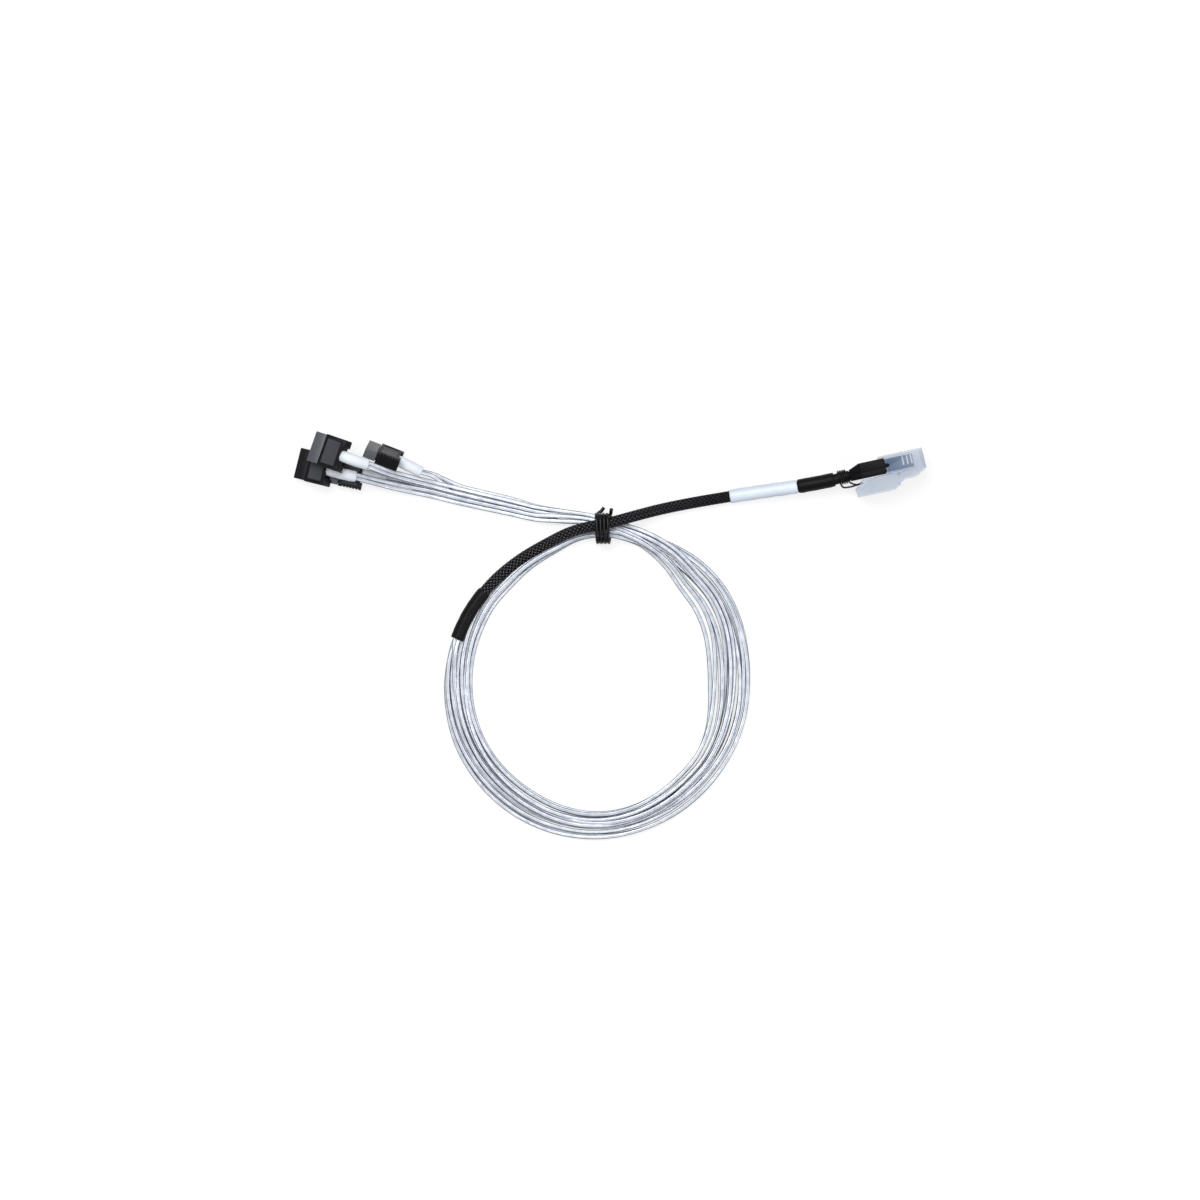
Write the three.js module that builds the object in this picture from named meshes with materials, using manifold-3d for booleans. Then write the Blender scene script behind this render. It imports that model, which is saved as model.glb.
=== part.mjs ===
// A mini SAS breakout cable: one multi-lane host plug under its dust cap, a braided sleeve, a coil of
// eight flat pairs held by a wire tie, and four seven-contact drive plugs lying in a pile.
// Millimetres, +Z up, the table at z = 0.
import * as THREE from "three";
import { mergeVertices } from "three/addons/utils/BufferGeometryUtils.js";
import Module from "manifold-3d";

const wasm = await Module();
wasm.setup();

// Clearances
const FIT_GAP = 0.3;
const SLIP_GAP = 0.2;

// The cable
const PAIR_DIAMETER = 1.5;
const PAIR_SIDES = 8;
const CORE_DIAMETER = 3.8;
const SLEEVE_WALL = 0.5;
const LABEL_WALL = 0.35;
const SHRINK_WALL = 0.4;
const NECK_TUBE_WALL = 0.35;
const BREAKOUT_TUBE_LENGTH = 24.6;
const SLEEVE_INSET = 9;
const CORE_INSET = 11;
const LABEL_LENGTH = 30.3;
const HOST_SHRINK_LENGTH = 16.4;
const NECK_TUBE_LENGTH = 7;
const CORE_IN_BODY = 5.9;

// The coil of pairs
const COIL_CENTRE = new THREE.Vector2(-6.4, -65.4);
const COIL_INNER = [50.6, 54.7, 64.8, 59.2, 56.9, 59.4, 58.5, 53.8];
const COIL_OUTER = [68.9, 71.9, 71.3, 69.3, 68.9, 70.2, 69.5, 64.1];
const COIL_HEIGHT = 4.6;
const COIL_ABOVE_TABLE = 0.1;
const SLEEVE_BAY_RADIUS = 61.3;
const SLEEVE_BAY_FROM = 94;
const SLEEVE_BAY_TO = 167;
const TIE_ANGLE = 87.5;

// The wire tie
const TIE_DIAMETER = 1.4;
const TIE_PITCH = 1.65;
const TIE_TURNS = 4;
const TIE_CENTRE = new THREE.Vector3(-0.1, 3.6, 7.1);
const TIE_HALF_WIDTH = 6.3;
const TIE_HALF_HEIGHT = 6.35;
const TIE_SQUARENESS = 4;

// The host plug
const HOST_PLACE = new THREE.Vector3(111.6, 29.3, 9.8);
const HOST_YAW = 12.3;
const BODY_LENGTH = 11.3;
const BODY_WIDTH = 19.2;
const BODY_THICKNESS = 7;
const BODY_WALL = 1.1;
const HOOD_LENGTH = 4.6;
const HOOD_WIDTH = 9.6;
const HOOD_RISE = 1.9;
const CABLE_DROP = 1;
const NOSE_LENGTH = 12.6;
const NOSE_WIDTH = 16.4;
const NOSE_THICKNESS = 5.8;
const NOSE_WALL = 0.9;
const TAIL_BLOCK_LENGTH = 7;
const CARD_THICKNESS = 1;
const CARD_WIDTH = 13.8;
const CARD_BACK = 2.2;
const CARD_SETBACK = 1.6;
const PAD_COUNT = 18;
const PAD_PITCH = 0.7;
const PAD_LENGTH = 4.2;
const PAD_RAISE = 0.1;
const LUG_WIDTH = 1.2;
const LUG_REACH = 1.8;
const LATCH_THICKNESS = 0.5;
const LATCH_WIDTH = 8.4;

// The dust cap
const CAP_WIDTH = 19.6;
const CAP_WALL = 0.8;
const CAP_RIB_WIDTH = 0.5;
const CAP_RIB_HEIGHT = 0.45;
const CAP_RIBS_AT = [19.4, 21.4, 23.2];

// The neck binding
const BINDING_DIAMETER = 0.8;
const BINDING_TURNS = 4;
const BINDING_PITCH = 1;

// The drive plugs
const PLUG_NOSE_LENGTH = 5.6;
const PLUG_NOSE_WIDTH = 13.9;
const PLUG_NOSE_THICKNESS = 4.4;
const COVER_LENGTH = 10.8;
const COVER_WIDTH = 14.6;
const COVER_THICKNESS = 5.8;
const COVER_WALL = 0.8;
const CORNER_RADIUS = 0.5;
const PANEL_DEPTH = 0.35;
const PANEL_FRAME = 1.7;
const GRIP_RIBS = 6;
const GRIP_PITCH = 1.4;
const GRIP_DEPTH = 0.35;
const COVER_LUG = 1;
const SLOT_WIDTH = 10.4;
const SLOT_HEIGHT = 1.25;
const SLOT_DEPTH = 5.2;
const KEY_WIDTH = 1.25;
const KEY_HEIGHT = 2.4;
const CONTACTS = 7;
const CONTACT_PITCH = 1.27;
const CONTACT_WIDTH = 0.45;
const CONTACT_THICKNESS = 0.3;
const MARKER_LENGTH = 10.5;
const MARKER_WALL = 0.35;
const MARKER_INSET = 1.4;

const SLEEVE_DIAMETER = CORE_DIAMETER + 2 * (SLEEVE_WALL + SLIP_GAP);
const MARKER_BORE = 2 * PAIR_DIAMETER + 3 * SLIP_GAP;
const MARKER_DIAMETER = MARKER_BORE + 2 * MARKER_WALL;
const PLUG_LENGTH = PLUG_NOSE_LENGTH + COVER_LENGTH;

// Routes, as points chosen by hand along each length of cable.
const CABLE_ROUTE = [
  [-69.2, -46.1, 3.2],
  [-66.1, -38.9, 3.2],
  [-62.2, -32.0, 3.2],
  [-57.1, -25.1, 3.2],
  [-49.9, -17.5, 3.0],
  [-40.0, -9.8, 2.9],
  [-27.8, -2.7, 3.9],
  [-19.5, 1.4, 7.2],
  [-12.5, 3.7, 9.4],
  [-6.8, 4.9, 9.85],
  [-0.5, 6.2, 9.85],
  [7.7, 8.4, 8.9],
  [14.6, 10.3, 6.4],
  [22.1, 12.2, 4.0],
  [31.0, 14.1, 3.0],
  [40.1, 15.8, 3.0],
  [52.7, 17.9, 3.4],
  [62.0, 19.3, 4.2],
  [73.0, 20.9, 5.6],
  [83.5, 22.4, 7.2],
  [91.9, 23.9, 8.5],
  [99.9, 25.5, 9.5],
  [107.0, 27.25, 9.8],
  [112.8, 28.53, 9.8],
];

// Each pair runs from the coil's edge beside the tie to its drive plug.
const PAIR_ROUTES = {
  pair_a1: [
    [-10.6, 10.5, 2.75],
    [-22.9, 10.8, 2.75],
    [-33.7, 13.6, 2.75],
    [-44.5, 16.2, 2.75],
    [-67.9, 21.7, 2.75],
    [-82.0, 25.3, 3.7],
    [-92.0, 27.7, 7.0],
    [-100.7, 29.9, 12.0],
  ],
  pair_a2: [
    [-10.6, 8.7, 2.75],
    [-22.9, 9.0, 2.75],
    [-33.7, 11.7, 2.75],
    [-44.5, 14.2, 2.75],
    [-67.9, 19.5, 2.75],
    [-82.0, 23.2, 3.7],
    [-92.0, 25.8, 7.0],
    [-100.7, 28.1, 12.0],
  ],
  pair_b1: [
    [-10.6, 8.7, 4.55],
    [-22.9, 9.0, 4.55],
    [-33.7, 9.8, 4.55],
    [-44.5, 12.2, 2.75],
    [-67.9, 17.2, 2.75],
    [-82.0, 20.6, 2.75],
    [-94.6, 23.0, 4.0],
    [-103.0, 24.9, 6.4],
  ],
  pair_b2: [
    [-10.6, 6.9, 4.55],
    [-22.9, 7.2, 4.55],
    [-33.7, 7.9, 4.55],
    [-44.5, 10.4, 2.75],
    [-67.9, 15.0, 2.75],
    [-82.0, 18.4, 2.75],
    [-94.6, 21.0, 4.0],
    [-103.0, 23.0, 6.4],
  ],
  pair_c1: [
    [-10.6, 10.5, 0.95],
    [-22.9, 10.8, 0.95],
    [-33.7, 14.5, 0.95],
    [-44.5, 17.2, 0.95],
    [-67.9, 22.8, 0.95],
    [-75.5, 26.5, 1.0],
    [-80.5, 28.4, 2.4],
  ],
  pair_c2: [
    [-10.6, 8.7, 0.95],
    [-22.9, 9.0, 0.95],
    [-33.7, 12.6, 0.95],
    [-44.5, 15.2, 0.95],
    [-67.9, 20.6, 0.95],
    [-75.5, 24.5, 1.0],
    [-80.5, 27.4, 4.3],
  ],
  pair_d1: [
    [-10.6, 6.9, 0.95],
    [-22.9, 7.2, 0.95],
    [-33.7, 10.7, 0.95],
    [-44.5, 13.2, 0.95],
    [-67.9, 18.3, 0.95],
    [-82.0, 21.8, 0.95],
    [-94.0, 25.4, 1.6],
  ],
  pair_d2: [
    [-10.6, 6.9, 2.75],
    [-22.9, 7.2, 2.75],
    [-33.7, 8.8, 2.75],
    [-44.5, 11.2, 0.95],
    [-67.9, 16.1, 0.95],
    [-82.0, 19.6, 0.95],
    [-94.0, 23.5, 1.6],
  ],
};

// Where each drive plug lies: its mating face's centre, then yaw, pitch and roll in degrees.
const PLUG_PLACES = {
  a: { face: [-133.3, 40.4, 11.5], yaw: -19.2, pitch: 27, roll: 0 },
  b: { face: [-140.0, 33.0, 2.1], yaw: -14, pitch: 27.5, roll: 0 },
  c: { face: [-109.9, 39.6, 7.95], yaw: -21.5, pitch: 0, roll: -72 },
  d: { face: [-127.0, 31.3, 2.95], yaw: -12, pitch: 0, roll: 0 },
};

// The middle of each white marker tube's path, from the plug's back to its open end.
const MARKER_ROUTES = {
  a: [
    [-113.4, 33.5, 19.0],
    [-109.2, 32.2, 17.2],
  ],
  b: [
    [-119.6, 27.9, 10.4],
    [-114.6, 26.9, 9.2],
  ],
  c: [
    [-89.8, 31.2, 7.5],
    [-85.4, 29.1, 6.2],
  ],
  d: [
    [-106.0, 26.9, 2.9],
    [-101.2, 25.8, 2.7],
  ],
};

function solidOf(geometry) {
  const bare = geometry.clone();
  bare.deleteAttribute("normal");
  bare.deleteAttribute("uv");
  const merged = mergeVertices(bare, 1e-4);
  return new wasm.Manifold(
    new wasm.Mesh({
      numProp: 3,
      vertProperties: new Float32Array(merged.attributes.position.array),
      triVerts: new Uint32Array(merged.index.array),
    }),
  );
}

function geometryOf(solid) {
  const mesh = solid.getMesh();
  const geometry = new THREE.BufferGeometry();
  geometry.setAttribute("position", new THREE.BufferAttribute(mesh.vertProperties, 3));
  geometry.setIndex(new THREE.BufferAttribute(mesh.triVerts, 1));
  geometry.computeVertexNormals();
  return geometry;
}

// A closed outline through the given points.
function outline(points) {
  return new THREE.Shape(points.map(([x, y]) => new THREE.Vector2(x, y)));
}

function rectangle(x0, x1, y0, y1) {
  return outline([
    [x0, y0],
    [x1, y0],
    [x1, y1],
    [x0, y1],
  ]);
}

// A rectangle about the origin, with its corners rounded.
function roundedRectangle(width, height, radius) {
  const x = width / 2 - radius;
  const y = height / 2 - radius;
  const shape = new THREE.Shape();
  shape.absarc(x, y, radius, 0, Math.PI / 2);
  shape.absarc(-x, y, radius, Math.PI / 2, Math.PI);
  shape.absarc(-x, -y, radius, Math.PI, 1.5 * Math.PI);
  shape.absarc(x, -y, radius, 1.5 * Math.PI, 2 * Math.PI);
  return shape;
}

function polygon(radius, sides) {
  const corner = (i) => {
    const angle = ((i + 0.5) / sides) * 2 * Math.PI;
    return new THREE.Vector2(radius * Math.cos(angle), radius * Math.sin(angle));
  };
  return Array.from({ length: sides }, (_, i) => corner(i));
}

// The section of a tube: a regular polygon, with a bore if one is given.
function tubeSection(diameter, sides, bore = 0) {
  const shape = new THREE.Shape(polygon(diameter / 2, sides));
  if (bore > 0) {
    const flats = bore / 2 / Math.cos(Math.PI / sides);
    shape.holes.push(new THREE.Path(polygon(flats, sides).reverse()));
  }
  return shape;
}

// A prism of an outline drawn in the XY plane, from z0 to z1.
function prismZ(shape, z0, z1, segments = 2) {
  const geometry = new THREE.ExtrudeGeometry(shape, {
    depth: z1 - z0,
    bevelEnabled: false,
    curveSegments: segments,
  });
  return geometry.translate(0, 0, z0);
}

// A prism of an outline drawn in the YZ plane, from x0 to x1.
function prismX(shape, x0, x1, segments = 2) {
  const turn = new THREE.Matrix4().makeBasis(
    new THREE.Vector3(0, 1, 0),
    new THREE.Vector3(0, 0, 1),
    new THREE.Vector3(1, 0, 0),
  );
  return prismZ(shape, x0, x1, segments).applyMatrix4(turn);
}

function box(x0, x1, y0, y1, z0, z1) {
  const geometry = new THREE.BoxGeometry(x1 - x0, y1 - y0, z1 - z0);
  return geometry.translate((x0 + x1) / 2, (y0 + y1) / 2, (z0 + z1) / 2);
}

function sweep(curve, section, steps) {
  return new THREE.ExtrudeGeometry(section, {
    steps,
    extrudePath: curve,
    bevelEnabled: false,
  });
}

function join(first, ...others) {
  return others.reduce((whole, next) => whole.add(solidOf(next)), solidOf(first));
}

function cut(whole, ...tools) {
  return tools.reduce((left, tool) => left.subtract(solidOf(tool)), whole);
}

function smoothCurve(points) {
  return new THREE.CatmullRomCurve3(
    points.map((p) => (p.isVector3 ? p : new THREE.Vector3(...p))),
    false,
    "centripetal",
  );
}

// Part of a curve, between two distances along it.
class Stretch extends THREE.Curve {
  constructor(whole, from, to) {
    super();
    this.whole = whole;
    this.from = from / whole.getLength();
    this.to = to / whole.getLength();
  }

  getPoint(t, target = new THREE.Vector3()) {
    const at = this.from + t * (this.to - this.from);
    return this.whole.getPointAt(Math.min(1, Math.max(0, at)), target);
  }
}

const group = new THREE.Group();

function add(name, shape, look, parent = group) {
  const geometry = shape.isBufferGeometry ? shape : geometryOf(shape);
  const mesh = new THREE.Mesh(geometry, look());
  mesh.name = name;
  parent.add(mesh);
  return mesh;
}

const material = (color, roughness, metalness = 0) =>
  () => new THREE.MeshStandardMaterial({ color, roughness, metalness });
const blackPlastic = material(0x1c1c20, 0.5);
const greyBlackPlastic = material(0x3a3c42, 0.45);
const milkyPlastic = () =>
  new THREE.MeshStandardMaterial({
    color: 0xbecde1,
    roughness: 0.3,
    metalness: 0,
    transparent: true,
    opacity: 0.6,
  });
const blackShrink = material(0x17171a, 0.6);
const whiteShrink = material(0xdfe6ee, 0.5);
const paleLabel = material(0xcddcf0, 0.55);
const blackBraid = material(0x202024, 0.75);
const blackCord = material(0x141416, 0.7);
const silverJacket = material(0xc8ced8, 0.35, 0.4);
const springSteel = material(0xb4b6ba, 0.3, 0.9);
const goldContact = material(0xd8b25a, 0.3, 1);
const greenCard = material(0x2f6a45, 0.5);

const radians = THREE.MathUtils.degToRad;

// The radius at an angle, smoothly through eight radii set evenly round the circle.
function radiusAt(radii, angle) {
  const place = (((angle / 360) % 1) + 1) % 1 * radii.length;
  const i = Math.floor(place);
  const t = place - i;
  const [a, b, c, d] = [-1, 0, 1, 2].map((k) => radii[(i + k + radii.length) % radii.length]);
  const slopeB = (c - a) / 2;
  const slopeC = (d - b) / 2;
  const cubic = 2 * b - 2 * c + slopeB + slopeC;
  const square = 3 * c - 3 * b - 2 * slopeB - slopeC;
  return ((cubic * t + square) * t + slopeB) * t + b;
}

// The coil's outer edge draws in where the sleeve lies beside it.
function coilOuter(angle) {
  const bay =
    THREE.MathUtils.smoothstep(angle, SLEEVE_BAY_FROM, SLEEVE_BAY_FROM + 8) *
    (1 - THREE.MathUtils.smoothstep(angle, SLEEVE_BAY_TO, SLEEVE_BAY_TO + 10));
  return THREE.MathUtils.lerp(radiusAt(COIL_OUTER, angle), SLEEVE_BAY_RADIUS, bay);
}

// The coil lifts over the wires of the tie below it.
function coilLift(angle) {
  const spread = (angle - TIE_ANGLE) / 11;
  const lift = TIE_DIAMETER + 2 * FIT_GAP;
  return COIL_ABOVE_TABLE + lift * Math.exp(-spread * spread);
}

function coilOfPairs() {
  const sides = 10;
  const profile = [];
  for (let i = 0; i <= sides; i += 1) {
    const angle = (i / sides) * 2 * Math.PI;
    profile.push(new THREE.Vector2(10 + Math.cos(angle), Math.sin(angle)));
  }
  const ring = new THREE.LatheGeometry(profile, 72);
  ring.rotateX(Math.PI / 2);
  const places = ring.attributes.position;
  for (let i = 0; i < places.count; i += 1) {
    const x = places.getX(i);
    const y = places.getY(i);
    const angle = ((THREE.MathUtils.radToDeg(Math.atan2(y, x)) % 360) + 360) % 360;
    const across = Math.hypot(x, y) - 10;
    const up = places.getZ(i);
    const inner = radiusAt(COIL_INNER, angle);
    const outer = coilOuter(angle);
    // A fuller section than an ellipse, as a bundle of strands has.
    const full = (value) => Math.sign(value) * Math.abs(value) ** 0.8;
    const radius = (inner + outer) / 2 + (full(across) * (outer - inner)) / 2;
    places.setXYZ(
      i,
      COIL_CENTRE.x + radius * Math.cos(radians(angle)),
      COIL_CENTRE.y + radius * Math.sin(radians(angle)),
      coilLift(angle) + ((1 + full(up)) * COIL_HEIGHT) / 2,
    );
  }
  return ring;
}

add("coil_of_pairs", coilOfPairs(), silverJacket);

// The sleeved cable, from the breakout's mouth to the host plug.
const cable = smoothCurve(CABLE_ROUTE);
cable.arcLengthDivisions = 800;
const cableLength = cable.getLength();
const bodyBack = cableLength - CORE_IN_BODY;
const neckStart = bodyBack - NECK_TUBE_LENGTH;
const shrinkStart = neckStart - HOST_SHRINK_LENGTH;
const labelStart = shrinkStart - LABEL_LENGTH;

function cableTube(from, to, diameter, bore, sides = 12) {
  const steps = Math.max(3, Math.round((to - from) / 4));
  return sweep(new Stretch(cable, from, to), tubeSection(diameter, sides, bore), steps);
}

const sleeveBore = SLEEVE_DIAMETER - 2 * SLEEVE_WALL;
const labelBore = SLEEVE_DIAMETER + 2 * SLIP_GAP;
const neckTubeBore = CORE_DIAMETER + 2 * SLIP_GAP;
const neckTubeDiameter = neckTubeBore + 2 * NECK_TUBE_WALL;
const sleeveEnd = shrinkStart + HOST_SHRINK_LENGTH / 2;

add("cable_core", cableTube(CORE_INSET, cableLength, CORE_DIAMETER, 0, 8), silverJacket);
add(
  "braided_sleeve",
  cableTube(SLEEVE_INSET, sleeveEnd, SLEEVE_DIAMETER, sleeveBore, 10),
  blackBraid,
);
add(
  "breakout_shrink_tube",
  cableTube(0, BREAKOUT_TUBE_LENGTH, labelBore + 2 * SHRINK_WALL, labelBore),
  blackShrink,
);
add(
  "label_sleeve",
  cableTube(labelStart, shrinkStart - FIT_GAP, labelBore + 2 * LABEL_WALL, labelBore),
  paleLabel,
);
add(
  "host_shrink_tube",
  cableTube(shrinkStart, neckStart, labelBore + 2 * SHRINK_WALL, labelBore),
  blackShrink,
);
add(
  "neck_tube",
  cableTube(sleeveEnd + FIT_GAP, bodyBack, neckTubeDiameter, neckTubeBore),
  blackShrink,
);

// The wire tie: turns of stiff coated wire round the coil and the sleeve, with both ends left free.
class TieCurve extends THREE.Curve {
  getPoint(t, target = new THREE.Vector3()) {
    const turn = t * TIE_TURNS;
    const angle = -turn * 2 * Math.PI;
    const round = (value) => Math.sign(value) * Math.abs(value) ** (2 / TIE_SQUARENESS);
    return target.set(
      TIE_CENTRE.x - turn * TIE_PITCH,
      TIE_CENTRE.y + TIE_HALF_WIDTH * round(Math.cos(angle)),
      TIE_CENTRE.z + TIE_HALF_HEIGHT * round(Math.sin(angle)),
    );
  }
}

function tiePath() {
  const turns = new TieCurve();
  const first = [
    new THREE.Vector3(0.2, 12.2, 11.6),
    new THREE.Vector3(0, 10.7, 9.8),
  ];
  const last = [
    new THREE.Vector3(-6.4, 10.4, 4.6),
    new THREE.Vector3(-5.0, 11.9, 3.9),
    new THREE.Vector3(-3.3, 13.1, 3.8),
  ];
  const steps = TIE_TURNS * 16;
  const middle = Array.from({ length: steps + 1 }, (_, i) => turns.getPoint((i + 0.01) / (steps + 0.02)));
  return smoothCurve([...first, ...middle.slice(1, -1), ...last]);
}

add("coil_tie", sweep(tiePath(), tubeSection(TIE_DIAMETER, 6), 76), blackCord);

// The drive plugs: x runs back from the mating face, y across the plug, z through its thickness.
const plugNeckWidth = COVER_WIDTH - 2 * (COVER_WALL + FIT_GAP);
const plugNeckThickness = COVER_THICKNESS - 2 * (COVER_WALL + FIT_GAP);
const waferBack = PLUG_NOSE_LENGTH + 4;
const contactSpan = (CONTACTS - 1) * CONTACT_PITCH;
const grooveWidth = CONTACT_WIDTH + 2 * SLIP_GAP;
const grooveFloor = SLOT_HEIGHT / 2 + CONTACT_THICKNESS + SLIP_GAP;
const contactAt = (i) => -contactSpan / 2 + i * CONTACT_PITCH - KEY_WIDTH / 4;

function plugHousing() {
  const nose = roundedRectangle(PLUG_NOSE_WIDTH, PLUG_NOSE_THICKNESS, CORNER_RADIUS);
  const neck = roundedRectangle(plugNeckWidth, plugNeckThickness, CORNER_RADIUS);
  const whole = join(
    prismX(nose, 0, PLUG_NOSE_LENGTH),
    prismX(neck, PLUG_NOSE_LENGTH - 0.5, waferBack),
  );
  const half = SLOT_WIDTH / 2;
  const slot = outline([
    [-half, -SLOT_HEIGHT / 2],
    [half, -SLOT_HEIGHT / 2],
    [half, SLOT_HEIGHT / 2],
    [-half + KEY_WIDTH, SLOT_HEIGHT / 2],
    [-half + KEY_WIDTH, KEY_HEIGHT - SLOT_HEIGHT / 2],
    [-half, KEY_HEIGHT - SLOT_HEIGHT / 2],
  ]);
  const grooves = Array.from({ length: CONTACTS }, (_, i) =>
    box(
      0.8,
      waferBack + 1,
      contactAt(i) - grooveWidth / 2,
      contactAt(i) + grooveWidth / 2,
      -grooveFloor,
      0,
    ),
  );
  const pocket = box(
    SLOT_DEPTH + 1,
    waferBack + 1,
    -SLOT_WIDTH / 2,
    SLOT_WIDTH / 2,
    -grooveFloor,
    SLOT_HEIGHT / 2,
  );
  return cut(whole, prismX(slot, -1, SLOT_DEPTH), pocket, ...grooves);
}

// The seven contacts in the bar that carries them, with their tails behind it.
function plugContacts() {
  const bar = box(
    SLOT_DEPTH + 1 + FIT_GAP,
    waferBack - FIT_GAP,
    -SLOT_WIDTH / 2 + FIT_GAP,
    SLOT_WIDTH / 2 - FIT_GAP,
    -grooveFloor + SLIP_GAP,
    SLOT_HEIGHT / 2 - SLIP_GAP,
  );
  const bottom = -grooveFloor + SLIP_GAP;
  const top = bottom + CONTACT_THICKNESS;
  const contact = outline([
    [1.1, bottom],
    [waferBack + 1.6, bottom],
    [waferBack + 1.6, top],
    [4.6, top],
    [2.6, top + 0.45],
    [1.1, top],
  ]);
  const turn = new THREE.Matrix4().makeBasis(
    new THREE.Vector3(1, 0, 0),
    new THREE.Vector3(0, 0, 1),
    new THREE.Vector3(0, -1, 0),
  );
  const blades = Array.from({ length: CONTACTS }, (_, i) =>
    prismZ(contact, -CONTACT_WIDTH / 2, CONTACT_WIDTH / 2)
      .applyMatrix4(turn)
      .translate(0, contactAt(i), 0),
  );
  return join(bar, ...blades);
}

// The cover snapped over the back: a framed panel on each wide face and ribs on the narrow sides.
function plugCover() {
  const start = PLUG_NOSE_LENGTH + FIT_GAP;
  const end = PLUG_LENGTH;
  let cover = join(prismX(roundedRectangle(COVER_WIDTH, COVER_THICKNESS, CORNER_RADIUS), start, end));
  const halfWidth = COVER_WIDTH / 2;
  const halfThickness = COVER_THICKNESS / 2;
  const rearNotch = halfWidth - 3.4;
  cover = cut(
    cover,
    box(end - COVER_LUG, end + 1, -rearNotch, rearNotch, -halfThickness - 1, halfThickness + 1),
  );
  for (const side of [-1, 1]) {
    const outer = side * (halfThickness + 1);
    const inner = side * (halfThickness - PANEL_DEPTH);
    cover = cut(
      cover,
      box(
        start + 1.2,
        end - COVER_LUG - 1.2,
        -halfWidth + PANEL_FRAME,
        halfWidth - PANEL_FRAME,
        Math.min(outer, inner),
        Math.max(outer, inner),
      ),
    );
    for (let i = 0; i < GRIP_RIBS; i += 1) {
      const at = start + 1.7 + i * GRIP_PITCH;
      const edge = side * (halfWidth + 1);
      const floor = side * (halfWidth - GRIP_DEPTH);
      cover = cut(
        cover,
        box(
          at,
          at + GRIP_PITCH / 2,
          Math.min(edge, floor),
          Math.max(edge, floor),
          -halfThickness - 1,
          halfThickness + 1,
        ),
      );
    }
  }
  const cavity = roundedRectangle(
    COVER_WIDTH - 2 * COVER_WALL,
    COVER_THICKNESS - 2 * COVER_WALL,
    CORNER_RADIUS / 2,
  );
  const exit = new THREE.Shape(polygon(MARKER_DIAMETER / 2 + FIT_GAP, 12));
  return cut(
    cover,
    prismX(cavity, start - 1, end - COVER_LUG - COVER_WALL),
    prismX(exit, end - COVER_LUG - COVER_WALL - 1, end + 1),
  );
}

const plugParts = {
  housing: [plugHousing(), greyBlackPlastic],
  rear_cover: [plugCover(), blackPlastic],
  contact_set: [plugContacts(), goldContact],
};
const plugFrames = {};

for (const [letter, place] of Object.entries(PLUG_PLACES)) {
  const plug = new THREE.Group();
  plug.position.set(...place.face);
  plug.rotation.set(radians(place.roll), -radians(place.pitch), radians(place.yaw), "ZYX");
  group.add(plug);
  plug.updateMatrixWorld(true);
  plugFrames[letter] = plug;
  for (const [part, [solid, look]] of Object.entries(plugParts)) {
    add(`plug_${letter}_${part}`, solid, look, plug);
  }
}

// A point of a plug's own frame, in the frame of the whole.
const fromPlug = (letter, x, y, z = 0) => plugFrames[letter].localToWorld(new THREE.Vector3(x, y, z));

function markerCurve(letter) {
  const back = PLUG_LENGTH - COVER_LUG;
  return smoothCurve([
    fromPlug(letter, back - MARKER_INSET, 0),
    fromPlug(letter, back, 0),
    fromPlug(letter, back + 1.5, 0),
    ...MARKER_ROUTES[letter],
  ]);
}

for (const letter of Object.keys(PLUG_PLACES)) {
  const section = tubeSection(MARKER_DIAMETER, 12, MARKER_BORE);
  add(`plug_${letter}_marker_tube`, sweep(markerCurve(letter), section, 6), whiteShrink);
}

// The pairs run on through the marker tubes, side by side, to the back of their plug's contacts.
for (const [name, route] of Object.entries(PAIR_ROUTES)) {
  const letter = name.at(5);
  const side = name.endsWith("1") ? 1 : -1;
  const back = PLUG_LENGTH - COVER_LUG;
  const apart = (PAIR_DIAMETER + SLIP_GAP) / 2;
  const marker = MARKER_ROUTES[letter];
  const end = new THREE.Vector3(...marker[1]);
  const along = end.clone().sub(new THREE.Vector3(...marker[0])).normalize();
  const across = fromPlug(letter, 0, 1).sub(fromPlug(letter, 0, 0));
  across.addScaledVector(along, -across.dot(along)).normalize();
  const beside = (place) => new THREE.Vector3(...place).addScaledVector(across, side * apart);
  const curve = smoothCurve([
    ...route,
    beside(marker[1]),
    beside(marker[0]),
    fromPlug(letter, back + 1.5, side * apart),
    fromPlug(letter, back, side * apart),
    fromPlug(letter, back - MARKER_INSET - 1, side * apart),
  ]);
  const steps = Math.round(curve.getLength() / (2.6 * PAIR_DIAMETER));
  add(name, sweep(curve, tubeSection(PAIR_DIAMETER, PAIR_SIDES), steps), silverJacket);
}

// The host plug: x runs forward from the back of its body to the cap's end, y across its thickness,
// z along its width, which stands upright on the table.
const host = new THREE.Group();
host.position.copy(HOST_PLACE);
host.rotation.z = radians(HOST_YAW);
group.add(host);

const bodyTop = BODY_THICKNESS / 2 - 0.1;
const bodyBottom = -BODY_THICKNESS / 2 - 0.1;
const bodyMiddle = (bodyTop + bodyBottom) / 2;
const cavityTop = bodyTop - BODY_WALL;
const cavityBottom = bodyBottom + BODY_WALL;

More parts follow.
